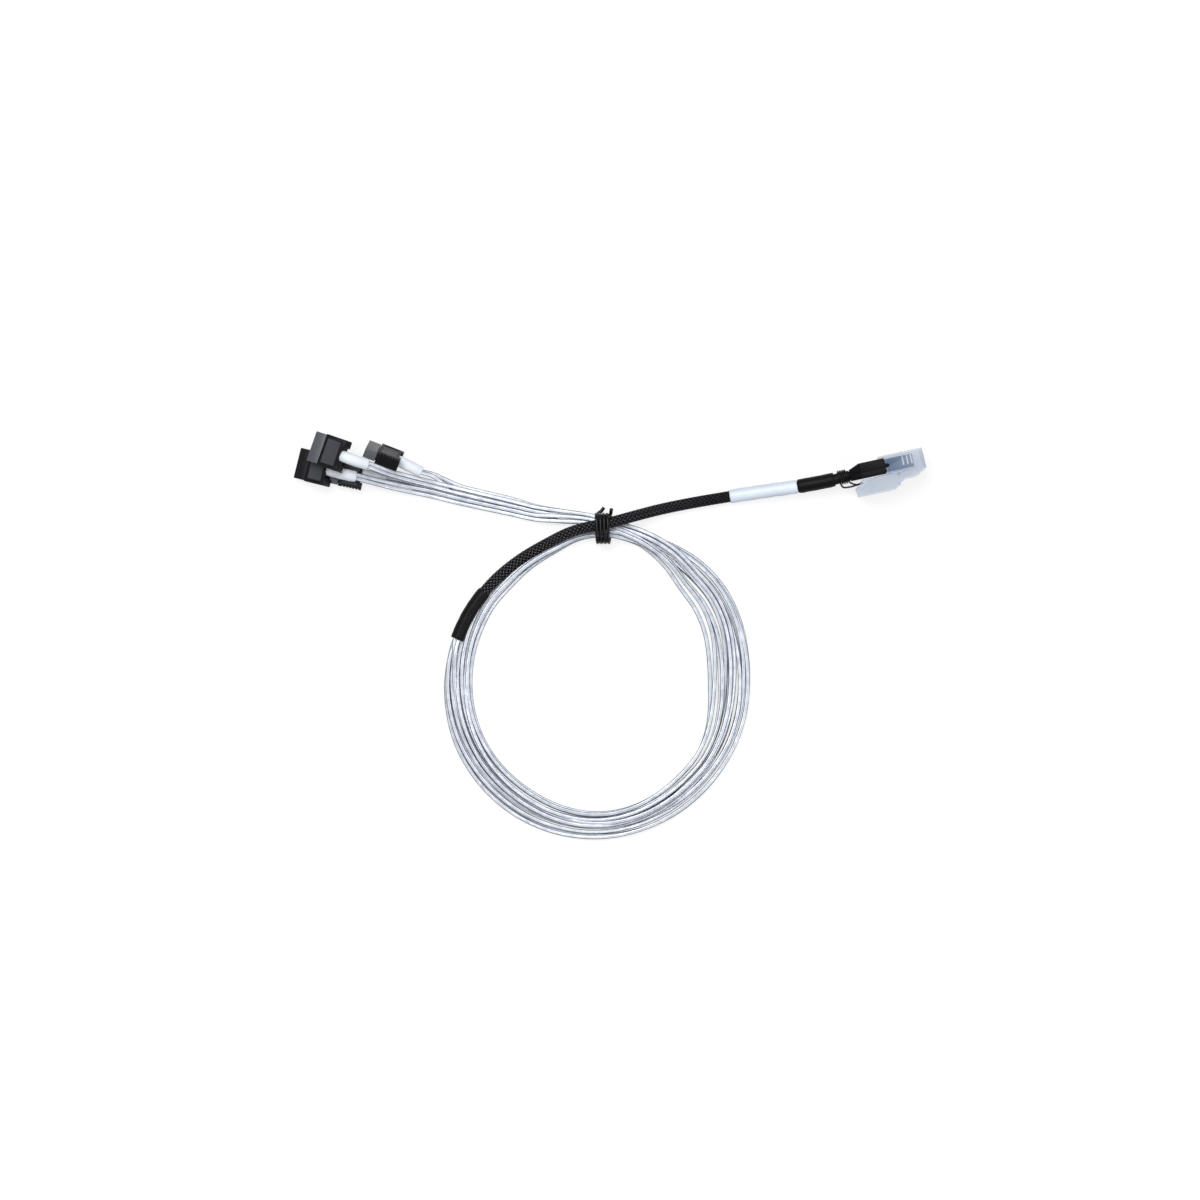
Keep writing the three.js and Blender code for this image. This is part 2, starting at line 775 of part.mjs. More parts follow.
function backshell() {
  const side = outline([
    [-HOOD_LENGTH, bodyBottom],
    [0, bodyBottom],
    [BODY_LENGTH, bodyBottom],
    [BODY_LENGTH, bodyTop],
    [0, bodyTop],
    [-HOOD_LENGTH, bodyTop - HOOD_RISE],
  ]);
  const plan = outline([
    [-HOOD_LENGTH, -HOOD_WIDTH / 2],
    [0.3, -BODY_WIDTH / 2],
    [BODY_LENGTH, -BODY_WIDTH / 2],
    [BODY_LENGTH, BODY_WIDTH / 2],
    [0.3, BODY_WIDTH / 2],
    [-HOOD_LENGTH, HOOD_WIDTH / 2],
  ]);
  const turn = new THREE.Matrix4().makeBasis(
    new THREE.Vector3(1, 0, 0),
    new THREE.Vector3(0, 0, 1),
    new THREE.Vector3(0, -1, 0),
  );
  const lengthwise = prismZ(plan, -BODY_THICKNESS, BODY_THICKNESS).applyMatrix4(turn);
  const shell = join(prismZ(side, -BODY_WIDTH / 2, BODY_WIDTH / 2)).intersect(solidOf(lengthwise));
  const inside = BODY_WIDTH / 2 - BODY_WALL;
  const cableHole = new THREE.Shape(polygon(CORE_DIAMETER / 2 + SLIP_GAP, 12));
  return cut(
    shell,
    box(-HOOD_LENGTH / 2, BODY_LENGTH + 1, cavityBottom, cavityTop, -HOOD_WIDTH / 2 + 1, HOOD_WIDTH / 2 - 1),
    box(0.8, BODY_LENGTH + 1, cavityBottom, cavityTop, -inside, inside),
    prismX(cableHole, -HOOD_LENGTH - 1, 2).translate(0, -CABLE_DROP, 0),
  );
}

// A stub with a round end on each narrow side, which the cap's notches close over.
function lugShape(reach, width, from = BODY_LENGTH - 1) {
  const shape = new THREE.Shape();
  const centre = BODY_LENGTH + reach - width / 2;
  shape.moveTo(from, bodyMiddle - width / 2);
  shape.lineTo(centre, bodyMiddle - width / 2);
  shape.absarc(centre, bodyMiddle, width / 2, -Math.PI / 2, Math.PI / 2);
  shape.lineTo(from, bodyMiddle + width / 2);
  return shape;
}

const shell = backshell();
const splitAt = bodyMiddle - LUG_WIDTH / 2 - FIT_GAP;
const wide = BODY_WIDTH;
const lugs = [1, -1].map((side) => {
  const outer = (side * BODY_WIDTH) / 2;
  const inner = side * (BODY_WIDTH / 2 - BODY_WALL);
  return prismZ(lugShape(LUG_REACH, LUG_WIDTH), Math.min(outer, inner), Math.max(outer, inner), 6);
});
const upperHalf = cut(shell, box(-wide, wide, -wide, splitAt + FIT_GAP / 2, -wide, wide));
add(
  "backshell_upper",
  lugs.reduce((whole, lug) => whole.add(solidOf(lug)), upperHalf),
  blackPlastic,
  host,
);
add(
  "backshell_lower",
  cut(shell, box(-wide, wide, splitAt - FIT_GAP / 2, wide, -wide, wide)),
  blackPlastic,
  host,
);

// The mating nose, with a block behind it held between the backshell halves.
const noseStart = BODY_LENGTH + FIT_GAP;
const noseEnd = noseStart + NOSE_LENGTH;

function noseHousing() {
  const nose = roundedRectangle(NOSE_THICKNESS, NOSE_WIDTH, 0.7);
  const blockHalf = (cavityTop - cavityBottom) / 2 - FIT_GAP;
  const blockSide = BODY_WIDTH / 2 - BODY_WALL - FIT_GAP;
  const whole = join(
    prismX(nose, noseStart, noseEnd, 3).translate(0, bodyMiddle, 0),
    box(
      BODY_LENGTH - TAIL_BLOCK_LENGTH,
      noseStart + 1,
      bodyMiddle - blockHalf,
      bodyMiddle + blockHalf,
      -Math.min(blockSide, NOSE_WIDTH / 2),
      Math.min(blockSide, NOSE_WIDTH / 2),
    ),
  );
  const mouth = roundedRectangle(NOSE_THICKNESS - 2 * NOSE_WALL, NOSE_WIDTH - 2 * NOSE_WALL, 0.3);
  const slotHalf = CARD_THICKNESS / 2 + PAD_RAISE + SLIP_GAP;
  const slotSide = CARD_WIDTH / 2 + SLIP_GAP;
  return cut(
    whole,
    prismX(mouth, noseStart + 2.4, noseEnd + 1).translate(0, bodyMiddle, 0),
    box(0, noseEnd, bodyMiddle - slotHalf, bodyMiddle + slotHalf, -slotSide, slotSide),
  );
}

add("nose_housing", noseHousing(), blackPlastic, host);

function paddleCard() {
  const cardEnd = noseEnd - CARD_SETBACK;
  const half = CARD_THICKNESS / 2;
  const chamfer = 0.8;
  const plan = outline([
    [CARD_BACK, -CARD_WIDTH / 2],
    [cardEnd - chamfer, -CARD_WIDTH / 2],
    [cardEnd, -CARD_WIDTH / 2 + chamfer],
    [cardEnd, CARD_WIDTH / 2 - chamfer],
    [cardEnd - chamfer, CARD_WIDTH / 2],
    [CARD_BACK, CARD_WIDTH / 2],
  ]);
  const turn = new THREE.Matrix4().makeBasis(
    new THREE.Vector3(1, 0, 0),
    new THREE.Vector3(0, 0, 1),
    new THREE.Vector3(0, -1, 0),
  );
  const board = prismZ(plan, -half, half).applyMatrix4(turn).translate(0, bodyMiddle, 0);
  const first = -((PAD_COUNT - 1) * PAD_PITCH) / 2;
  const pads = Array.from({ length: PAD_COUNT }, (_, i) => {
    const at = first + i * PAD_PITCH;
    return box(
      cardEnd - 0.6 - PAD_LENGTH,
      cardEnd - 0.6,
      bodyMiddle - half - PAD_RAISE,
      bodyMiddle + half + PAD_RAISE,
      at - PAD_PITCH / 4,
      at + PAD_PITCH / 4,
    );
  });
  return join(board, ...pads);
}

add("paddle_card", paddleCard(), greenCard, host);

// A bent strip of spring steel along the given line.
function bentStrip(line, thickness) {
  const points = line.map(([x, y]) => new THREE.Vector2(x, y));
  const offset = (side) =>
    points.map((point, i) => {
      const before = points[Math.max(0, i - 1)];
      const after = points[Math.min(points.length - 1, i + 1)];
      const along = after.clone().sub(before).normalize();
      return new THREE.Vector2(-along.y, along.x).multiplyScalar((side * thickness) / 2).add(point);
    });
  return new THREE.Shape([...offset(-1), ...offset(1).reverse()]);
}

const latchTop = bodyBottom - FIT_GAP - LATCH_THICKNESS / 2;
const latchLine = [
  [20.6, latchTop + 0.3],
  [19.6, latchTop],
  [8, latchTop],
  [5.2, latchTop - 0.25],
  [2.6, latchTop - 1.3],
  [-1.2, latchTop - 4.1],
  [-2.2, latchTop - 4.6],
];

function latchSpring() {
  const hook = outline([
    [18.4, latchTop],
    [16.4, latchTop],
    [16.4, latchTop - 1.5],
    [17.0, latchTop - 1.5],
  ]);
  const strip = prismZ(bentStrip(latchLine, LATCH_THICKNESS), -LATCH_WIDTH / 2, LATCH_WIDTH / 2);
  const hooks = [
    prismZ(hook, LATCH_WIDTH / 2 - 1.4, LATCH_WIDTH / 2),
    prismZ(hook, -LATCH_WIDTH / 2, -LATCH_WIDTH / 2 + 1.4),
  ];
  return join(strip, ...hooks);
}

add("latch_spring", latchSpring(), springSteel, host);

// The one-piece dust cap: a box over the nose and a deeper box over the latch beside the body.
function dustCap() {
  const top = bodyTop + FIT_GAP + CAP_WALL;
  const beside = bodyBottom - FIT_GAP;
  const face = BODY_LENGTH + FIT_GAP;
  const outside = outline([
    [9.2, top],
    [9.2, top - CAP_WALL],
    [face, top - CAP_WALL],
    [face, beside],
    [0.7, beside],
    [-3.3, -7.6],
    [-2.7, -11.5],
    [13.5, -11.6],
    [16.5, -9.7],
    [16.7, -9.0],
    [19.0, -7.8],
    [24.2, -7.7],
    [29.3, -4.7],
    [29.1, top],
  ]);
  const inside = outline([
    [8, top - CAP_WALL],
    [8, 0],
    [-5, 0],
    [-5, -11.5 + CAP_WALL],
    [13.5 - CAP_WALL / 3, -11.6 + CAP_WALL],
    [16.5 - CAP_WALL, -9.7 + CAP_WALL / 3],
    [16.7 - CAP_WALL, -9.0 + CAP_WALL / 2],
    [19.0 - CAP_WALL / 4, -7.8 + CAP_WALL],
    [24.2 - CAP_WALL / 4, -7.7 + CAP_WALL],
    [29.3 - CAP_WALL, -4.7 + CAP_WALL / 2],
    [29.1 - CAP_WALL, top - CAP_WALL],
  ]);
  const half = CAP_WIDTH / 2;
  const hollow = half - CAP_WALL;
  const whole = cut(join(prismZ(outside, -half, half)), prismZ(inside, -hollow, hollow));
  const notched = cut(
    whole,
    prismZ(lugShape(LUG_REACH + FIT_GAP, LUG_WIDTH + 2 * FIT_GAP), -half - 1, half + 1, 6),
  );
  const ribs = CAP_RIBS_AT.flatMap((at) =>
    [1, -1].map((side) => {
      const outer = side * (hollow + 0.1);
      const inner = side * (hollow - CAP_RIB_HEIGHT);
      return box(at, at + CAP_RIB_WIDTH, -1.5, 2.8, Math.min(outer, inner), Math.max(outer, inner));
    }),
  );
  return ribs.reduce((made, rib) => made.add(solidOf(rib)), notched);
}

add("dust_cap", dustCap(), milkyPlastic, host);

// Thin cord wound round the neck, its ends tucked under the body into the cap's mouth.
function bindingPath() {
  const radius = neckTubeDiameter / 2 + FIT_GAP + BINDING_DIAMETER / 2;
  const start = -HOOD_LENGTH - FIT_GAP - BINDING_DIAMETER / 2 - 0.2;
  const turnsPerStep = 1 / 12;
  const points = [new THREE.Vector3(0.1, -5.4, -1.8), new THREE.Vector3(-2.6, -5.6, -1.7)];
  for (let turn = 0.04; turn < BINDING_TURNS; turn += turnsPerStep) {
    const angle = -Math.PI / 2 + turn * 2 * Math.PI;
    // The turns lean, lower ones nearer the body.
    const lean = 0.35 * Math.sin(angle);
    points.push(
      new THREE.Vector3(
        start - turn * BINDING_PITCH - lean - 0.35,
        -CABLE_DROP + radius * Math.sin(angle),
        radius * Math.cos(angle),
      ),
    );
  }
  points.push(new THREE.Vector3(-8.6, -5.6, 1.6));
  points.push(new THREE.Vector3(-5.6, -6.0, 2.2));
  points.push(new THREE.Vector3(-2.6, -5.8, 2.3));
  points.push(new THREE.Vector3(0.2, -5.4, 2.2));
  return smoothCurve(points);
}

add("neck_binding", sweep(bindingPath(), tubeSection(BINDING_DIAMETER, 6), 76), blackCord, host);

export default group;
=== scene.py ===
import math
import random

import bmesh
import bpy
from mathutils import Euler, Matrix, Vector


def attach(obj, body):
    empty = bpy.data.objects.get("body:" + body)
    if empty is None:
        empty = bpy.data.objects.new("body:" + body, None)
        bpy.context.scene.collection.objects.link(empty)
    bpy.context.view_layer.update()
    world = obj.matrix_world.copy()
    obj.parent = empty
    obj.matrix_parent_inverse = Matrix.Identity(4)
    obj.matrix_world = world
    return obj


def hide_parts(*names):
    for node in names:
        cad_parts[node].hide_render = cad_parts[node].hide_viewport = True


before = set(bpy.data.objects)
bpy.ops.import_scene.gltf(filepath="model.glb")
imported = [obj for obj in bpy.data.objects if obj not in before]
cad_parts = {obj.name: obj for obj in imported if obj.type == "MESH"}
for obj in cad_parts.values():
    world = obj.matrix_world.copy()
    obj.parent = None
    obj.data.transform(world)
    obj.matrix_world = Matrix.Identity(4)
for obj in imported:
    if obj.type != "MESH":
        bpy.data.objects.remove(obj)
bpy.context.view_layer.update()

# The camera looks straight down on the cable, laid out on a white table under soft studio light.
# The table shows as white to the camera and in reflections, and keeps the shadows.
VIEW_CENTRE = Vector((-0.0049, -0.0285, 0))
VIEW_WIDTH = 0.54
CAMERA_LENS = 250
CAMERA_SENSOR = 36

camera_data = bpy.data.cameras.new("camera")
camera_data.lens = CAMERA_LENS
camera_data.sensor_width = CAMERA_SENSOR
camera_data.clip_end = 20
camera = bpy.data.objects.new("camera", camera_data)
camera.location = VIEW_CENTRE + Vector((0, 0, VIEW_WIDTH * CAMERA_LENS / CAMERA_SENSOR))
bpy.context.scene.collection.objects.link(camera)
bpy.context.scene.camera = camera
bpy.context.scene.view_settings.view_transform = "Standard"

TABLE_HALF = 3.0
TABLE_DROP = 0.0001
TABLE_TONE = 0.26
TABLE_GLOW = 0.76
SKY_LEVEL = 0.3


def place(tree, kind, inputs=None, **settings):
    """Adds a node, with its settings, and its sockets set or linked."""
    node = tree.nodes.new(kind)
    for key, value in settings.items():
        setattr(node, key, value)
    for key, value in (inputs or {}).items():
        if isinstance(value, bpy.types.NodeSocket):
            tree.links.new(value, node.inputs[key])
        else:
            node.inputs[key].default_value = value
    return node


def reckon(tree, operation, *values):
    return place(tree, "ShaderNodeMath", dict(enumerate(values)), operation=operation)


def spread(tree, value, low, high, at_low, at_high):
    """Maps a value between low and high to what it gives at each."""
    inputs = dict(enumerate((value, low, high, at_low, at_high)))
    return place(tree, "ShaderNodeMapRange", inputs)


def blend(tree, factor, first, second):
    inputs = {"Factor": factor, "A": first, "B": second}
    return place(tree, "ShaderNodeMix", inputs, data_type="RGBA")


def new_material(name):
    """A material holding one Principled shader, as (material, tree, shader)."""
    material = bpy.data.materials.new(name)
    material.use_nodes = True
    tree = material.node_tree
    return material, tree, tree.nodes["Principled BSDF"]


def link_mesh(name, verts, faces):
    mesh = bpy.data.meshes.new(name)
    mesh.from_pydata([tuple(v) for v in verts], [], faces)
    mesh.update()
    piece = bpy.data.objects.new(name, mesh)
    bpy.context.scene.collection.objects.link(piece)
    return piece


corners = [(-1, -1), (1, -1), (1, 1), (-1, 1)]
table = link_mesh(
    "table",
    [
        (VIEW_CENTRE.x + x * TABLE_HALF, VIEW_CENTRE.y + y * TABLE_HALF, -TABLE_DROP)
        for x, y in corners
    ],
    [(0, 1, 2, 3)],
)
paper, tree, shader = new_material("white_paper")
shader.inputs["Base Color"].default_value = (TABLE_TONE, TABLE_TONE, TABLE_TONE, 1)
shader.inputs["Roughness"].default_value = 0.9
shader.inputs["Specular IOR Level"].default_value = 0
shader.inputs["Emission Color"].default_value = (1, 1, 1, 1)
rays = place(tree, "ShaderNodeLightPath")
seen = reckon(tree, "MAXIMUM", rays.outputs["Is Camera Ray"], rays.outputs["Is Glossy Ray"])
seen = reckon(tree, "MAXIMUM", seen.outputs[0], rays.outputs["Is Transmission Ray"])
glow = reckon(tree, "MULTIPLY", seen.outputs[0], TABLE_GLOW)
tree.links.new(glow.outputs[0], shader.inputs["Emission Strength"])
table.data.materials.append(paper)

world = bpy.data.worlds.new("sky")
world.use_nodes = True
bpy.context.scene.world = world
background = world.node_tree.nodes["Background"]
background.inputs["Color"].default_value = (1, 1, 1, 1)
background.inputs["Strength"].default_value = SKY_LEVEL


def soft_lamp(name, spot, size, power):
    data = bpy.data.lights.new(name, "AREA")
    data.shape = "SQUARE"
    data.size = size
    data.energy = power
    lamp = bpy.data.objects.new(name, data)
    lamp.location = spot
    lamp.rotation_euler = (VIEW_CENTRE - Vector(spot)).to_track_quat("-Z", "Y").to_euler()
    bpy.context.scene.collection.objects.link(lamp)


soft_lamp("lamp_over", (-0.35, 0.55, 1.5), 1.1, 23)
soft_lamp("lamp_side", (0.9, -0.5, 1.1), 0.7, 7)

# Eight flat pairs: two fine conductors side by side under one silvery film, thin and springy.
# They leave the breakout tube's mouth together, go round the coil, run out under the wire tie in a
# ribbon and end in their drive plugs, two to a plug.
PAIR_WIDTH = 0.00185
PAIR_THICKNESS = 0.00105
LOWEST_STRAND = 0.0008
COIL_CENTRE = Vector((-0.0064, -0.0654, 0))
COIL_START = 168
COIL_STEP = 12
COIL_END = 792
STEPS_PER_TURN = 360 // COIL_STEP
TIE_ANGLE = 87.5
TIE_LIFT = 0.0020
MOUTH = Vector((-0.0692, -0.0461, 0.0032))
MOUTH_ALONG = Vector((-0.395, -0.918, 0))
MOUTH_ACROSS = Vector((0.918, -0.395, 0))

# Where the bundle lies in the coil: angle, middle radius, half width.
COIL_BUNDLE = [
    (168, 0.0657, 0.0014), (180, 0.0655, 0.0024), (204, 0.0653, 0.0036), (270, 0.0655, 0.0037),
    (330, 0.0642, 0.0041), (360, 0.0634, 0.0047), (405, 0.0668, 0.0044), (432, 0.0671, 0.0030),
    (448, 0.0655, 0.0012), (468, 0.0637, 0.0022), (492, 0.0614, 0.0030), (528, 0.0597, 0.0030),
    (540, 0.0594, 0.0030), (588, 0.0599, 0.0031), (630, 0.0616, 0.0032), (678, 0.0592, 0.0038),
    (720, 0.0566, 0.0052), (762, 0.0610, 0.0052), (786, 0.0655, 0.0042), (800, 0.0693, 0.0026),
]

# Each pair's place in the ribbon: its side, its column and layer in the tie on the last pass and on
# the pass before, and its points from the tie to the plug.
PAIRS = {
    "c1": {
        "side": 0.9,
        "last": (0, 0),
        "first": (0, 0),
        "route": [
            (-0.0036, 0.0080, 0.0026), (-0.0106, 0.0098, 0.0016), (-0.0229, 0.0117, 0.00085),
            (-0.0337, 0.0137, 0.00085), (-0.0445, 0.0170, 0.00085), (-0.0679, 0.0228, 0.00085),
            (-0.0755, 0.0262, 0.00105), (-0.0805, 0.0283, 0.0024),
        ],
    },
    "c2": {
        "side": 0.3,
        "last": (1, 0),
        "first": (1, 0),
        "route": [
            (-0.0036, 0.0062, 0.0026), (-0.0106, 0.0080, 0.0016), (-0.0229, 0.0094, 0.00085),
            (-0.0337, 0.0118, 0.00085), (-0.0445, 0.0149, 0.00085), (-0.0679, 0.0205, 0.00085),
            (-0.0755, 0.0241, 0.00105), (-0.0805, 0.0274, 0.0043),
        ],
    },
    "d1": {
        "side": -0.3,
        "last": (2, 0),
        "first": (0, 1),
        "route": [
            (-0.0036, 0.0044, 0.0026), (-0.0106, 0.0062, 0.0016), (-0.0229, 0.0071, 0.00085),
            (-0.0337, 0.0098, 0.00085), (-0.0445, 0.0128, 0.00085), (-0.0679, 0.0182, 0.00085),
            (-0.0820, 0.0218, 0.0009), (-0.0940, 0.0253, 0.0014),
        ],
    },
    "d2": {
        "side": -0.9,
        "last": (2, 1),
        "first": (1, 1),
        "route": [
            (-0.0036, 0.0044, 0.0037), (-0.0106, 0.0062, 0.0027), (-0.0229, 0.0069, 0.00195),
            (-0.0337, 0.0083, 0.00145), (-0.0445, 0.0107, 0.00085), (-0.0679, 0.0160, 0.00085),
            (-0.0820, 0.0196, 0.0009), (-0.0940, 0.0235, 0.0014),
        ],
    },
    "a1": {
        "side": 1.0,
        "last": (0, 1),
        "first": (0, 2),
        "route": [
            (-0.0036, 0.0080, 0.0037), (-0.0106, 0.0098, 0.0027), (-0.0229, 0.0116, 0.00195),
            (-0.0337, 0.0132, 0.00195), (-0.0445, 0.0159, 0.00195), (-0.0679, 0.0215, 0.00195),
            (-0.0820, 0.0250, 0.0030), (-0.0920, 0.0275, 0.0068), (-0.1007, 0.0299, 0.0120),
        ],
    },
    "a2": {
        "side": 0.55,
        "last": (1, 1),
        "first": (1, 2),
        "route": [
            (-0.0036, 0.0062, 0.0037), (-0.0106, 0.0080, 0.0027), (-0.0229, 0.0095, 0.00195),
            (-0.0337, 0.0113, 0.00195), (-0.0445, 0.0138, 0.00195), (-0.0679, 0.0193, 0.00195),
            (-0.0820, 0.0230, 0.0030), (-0.0920, 0.0256, 0.0066), (-0.1007, 0.0281, 0.0118),
        ],
    },
    "b1": {
        "side": 0.0,
        "last": (1, 2),
        "first": (0, 3),
        "route": [
            (-0.0036, 0.0062, 0.0048), (-0.0106, 0.0080, 0.0038), (-0.0229, 0.0092, 0.00305),
            (-0.0337, 0.0096, 0.00265), (-0.0445, 0.0119, 0.00195), (-0.0679, 0.0171, 0.00195),
            (-0.0820, 0.0207, 0.0019), (-0.0946, 0.0231, 0.0036), (-0.1030, 0.0250, 0.0062),
        ],
    },
    "b2": {
        "side": -0.6,
        "last": (2, 2),
        "first": (1, 3),
        "route": [
            (-0.0036, 0.0044, 0.0048), (-0.0106, 0.0062, 0.0038), (-0.0229, 0.0070, 0.00305),
            (-0.0337, 0.0077, 0.00265), (-0.0445, 0.0100, 0.00195), (-0.0679, 0.0150, 0.00195),
            (-0.0820, 0.0184, 0.0019), (-0.0946, 0.0210, 0.0036), (-0.1030, 0.0230, 0.0062),
        ],
    },
}

# Where each drive plug lies: its mating face, then yaw, pitch and roll, and its marker tube's route.
PLUG_BACK = 0.0154
MARKER_INSET = 0.0014
PLUGS = {
    "a": {
        "face": (-0.1333, 0.0404, 0.0115),
        "turn": (-19.2, 27, 0),
        "marker": [(-0.1134, 0.0335, 0.0190), (-0.1092, 0.0322, 0.0172)],
    },
    "b": {
        "face": (-0.1400, 0.0330, 0.0021),
        "turn": (-14, 27.5, 0),
        "marker": [(-0.1196, 0.0279, 0.0104), (-0.1146, 0.0269, 0.0092)],
    },
    "c": {
        "face": (-0.1099, 0.0396, 0.00795),
        "turn": (-21.5, 0, -72),
        "marker": [(-0.0898, 0.0312, 0.0075), (-0.0854, 0.0291, 0.0062)],
    },
    "d": {
        "face": (-0.1270, 0.0313, 0.00295),
        "turn": (-12, 0, 0),
        "marker": [(-0.1060, 0.0269, 0.0029), (-0.1012, 0.0258, 0.0027)],
    },
}


def smooth_path(points, step):
    """Points a step apart on the centripetal Catmull-Rom curve through the given points."""
    points = [Vector(p) for p in points]
    points = [2 * points[0] - points[1], *points, 2 * points[-1] - points[-2]]
    path = []
    for p0, p1, p2, p3 in zip(points, points[1:], points[2:], points[3:]):
        t0 = 0
        t1 = t0 + math.sqrt((p1 - p0).length)
        t2 = t1 + math.sqrt((p2 - p1).length)
        t3 = t2 + math.sqrt((p3 - p2).length)
        count = max(1, round((p2 - p1).length / step))
        for i in range(count):
            t = t1 + (t2 - t1) * i / count
            a1 = p0.lerp(p1, (t - t0) / (t1 - t0))
            a2 = p1.lerp(p2, (t - t1) / (t2 - t1))
            a3 = p2.lerp(p3, (t - t2) / (t3 - t2))
            b1 = a1.lerp(a2, (t - t0) / (t2 - t0))
            b2 = a2.lerp(a3, (t - t1) / (t3 - t1))
            path.append(b1.lerp(b2, (t - t1) / (t2 - t1)))
    path.append(points[-2])
    return path


def path_length(path):
    return sum((b - a).length for a, b in zip(path, path[1:]))


def plug_point(letter, x, y, z=0.0):
    """A point of a drive plug's frame: x back from the mating face, y across, z up through it."""
    yaw, pitch, roll = (math.radians(v) for v in PLUGS[letter]["turn"])
    turn = Matrix.Rotation(yaw, 3, "Z") @ Matrix.Rotation(-pitch, 3, "Y")
    turn = turn @ Matrix.Rotation(roll, 3, "X")
    return Vector(PLUGS[letter]["face"]) + turn @ Vector((x, y, z))


def bundle_at(angle):
    """The bundle's middle radius and half width at an angle, eased between the places given."""
    for (a0, r0, s0), (a1, r1, s1) in zip(COIL_BUNDLE, COIL_BUNDLE[1:]):
        if angle <= a1:
            t = (angle - a0) / (a1 - a0)
            t = t * t * (3 - 2 * t)
            return r0 + (r1 - r0) * t, s0 + (s1 - s0) * t
    return COIL_BUNDLE[-1][1:]


# The pairs' radii in the tie, column by column, on the first pass and on the last.
LAST_PASS_FROM = 620
FIRST_TIED = (0.0680, 0.0662)
LAST_TIED = (0.0715, 0.06975, 0.0680)
TIE_REACH = 9


def near_tie(angle):
    """1 in the tie, falling off within TIE_REACH degrees."""
    away = ((angle - TIE_ANGLE + 180) % 360 - 180) / TIE_REACH
    return math.exp(-away * away)


def tied_place(name, angle):
    """A pair's column and layer in the tie on the pass that an angle belongs to."""
    return PAIRS[name]["first" if angle < LAST_PASS_FROM else "last"]


def coil_strands():
    """Points of each pair round the coil: strands lie side by side and on what lies below them."""
    angles = list(range(COIL_START, COIL_END + 1, COIL_STEP))
    names = list(PAIRS)
    radii = {}
    for i, name in enumerate(names):
        for k, angle in enumerate(angles):
            middle, half = bundle_at(angle)
            turn = math.radians(angle)
            drift = 0.16 * math.sin(1.3 * turn + 2.1 * i)
            drift = drift + 0.1 * math.sin(2.9 * turn + 1.3 * i * i)
            radius = middle + half * (PAIRS[name]["side"] + drift)
            tied = FIRST_TIED if angle < LAST_PASS_FROM else LAST_TIED
            squeeze = near_tie(angle) ** 0.5
            radii[i, k] = radius + squeeze * (tied[tied_place(name, angle)[0]] - radius)
    heights = {}
    for k in range(len(angles)):
        if k >= STEPS_PER_TURN:
            below = [(j, k - STEPS_PER_TURN) for j in range(len(names))]
        else:
            below = []
        for i in range(len(names)):
            z = LOWEST_STRAND
            for other in [*below, *((j, k) for j in range(i))]:
                if abs(radii[i, k] - radii[other]) < 0.72 * PAIR_WIDTH:
                    z = max(z, heights[other] + PAIR_THICKNESS)
            heights[i, k] = z
    strands = {}
    for i, name in enumerate(names):
        points = []
        for k, angle in enumerate(angles):
            window = [min(len(angles) - 1, max(0, k + d)) for d in (-2, -1, -1, 0, 0, 0, 1, 1, 2)]
            z = sum(heights[i, w] for w in window) / len(window)
            layer = tied_place(name, angle)[1]
            tied_z = TIE_LIFT + 0.1e-3 + PAIR_THICKNESS * (0.5 + 1.03 * layer)
            squeeze = near_tie(angle)
            z += squeeze * (tied_z - z)
            turn = math.radians(angle)
            out = Vector((math.cos(turn), math.sin(turn), 0))
            points.append(COIL_CENTRE + radii[i, k] * out + Vector((0, 0, z)))
        strands[name] = points
    return strands


def pair_path(name, strand, index):
    """The route of one pair: tube mouth, coil, ribbon, marker tube and the back of its plug."""
    column, row = index % 2, index // 2
    bundle = MOUTH_ACROSS * (0.0009 * (2 * column - 1)) + Vector((0, 0, 0.00108 * (row - 1.5)))
    start = [MOUTH - 0.006 * MOUTH_ALONG + 0.85 * bundle, MOUTH + bundle * 0.95]
    letter = name[0]
    side = 1 if name.endswith("1") else -1
    apart = 0.00085 * side
    marker = [Vector(p) for p in PLUGS[letter]["marker"]]
    along = (marker[1] - marker[0]).normalized()
    across = plug_point(letter, 0, 1) - plug_point(letter, 0, 0)
    across = (across - along * across.dot(along)).normalized()
    end = [
        marker[1] + across * apart,
        marker[0] + across * apart,
        plug_point(letter, PLUG_BACK + 0.0015, apart),
        plug_point(letter, PLUG_BACK, apart),
        plug_point(letter, PLUG_BACK - MARKER_INSET - 0.001, apart),
    ]
    return smooth_path([*start, *strand, *PAIRS[name]["route"], *end], 0.0022)


def new_tree(name, inputs):
    """A Geometry Nodes tree with the named inputs."""
    tree = bpy.data.node_groups.new(name, "GeometryNodeTree")
    tree.interface.new_socket("Geometry", in_out="INPUT", socket_type="NodeSocketGeometry")
    tree.interface.new_socket("Geometry", in_out="OUTPUT", socket_type="NodeSocketGeometry")
    for label, kind in inputs.items():
        tree.interface.new_socket(label, in_out="INPUT", socket_type=f"NodeSocket{kind}")
    return tree


def run_tree(tree, source, name, values):
    """What the tree makes of the source object, as a plain mesh object."""
    modifier = source.modifiers.new(tree.name, "NODES")
    modifier.node_group = tree
    for item in tree.interface.items_tree:
        if item.in_out == "INPUT" and item.name in values:
            modifier[item.identifier] = values[item.name]
    bpy.context.view_layer.update()
    graph = bpy.context.evaluated_depsgraph_get()
    mesh = bpy.data.meshes.new_from_object(
        source.evaluated_get(graph), preserve_all_data_layers=True, depsgraph=graph
    )
    source.modifiers.clear()
    bpy.data.objects.remove(source)
    mesh.name = name
    piece = bpy.data.objects.new(name, mesh)
    bpy.context.scene.collection.objects.link(piece)
    return piece


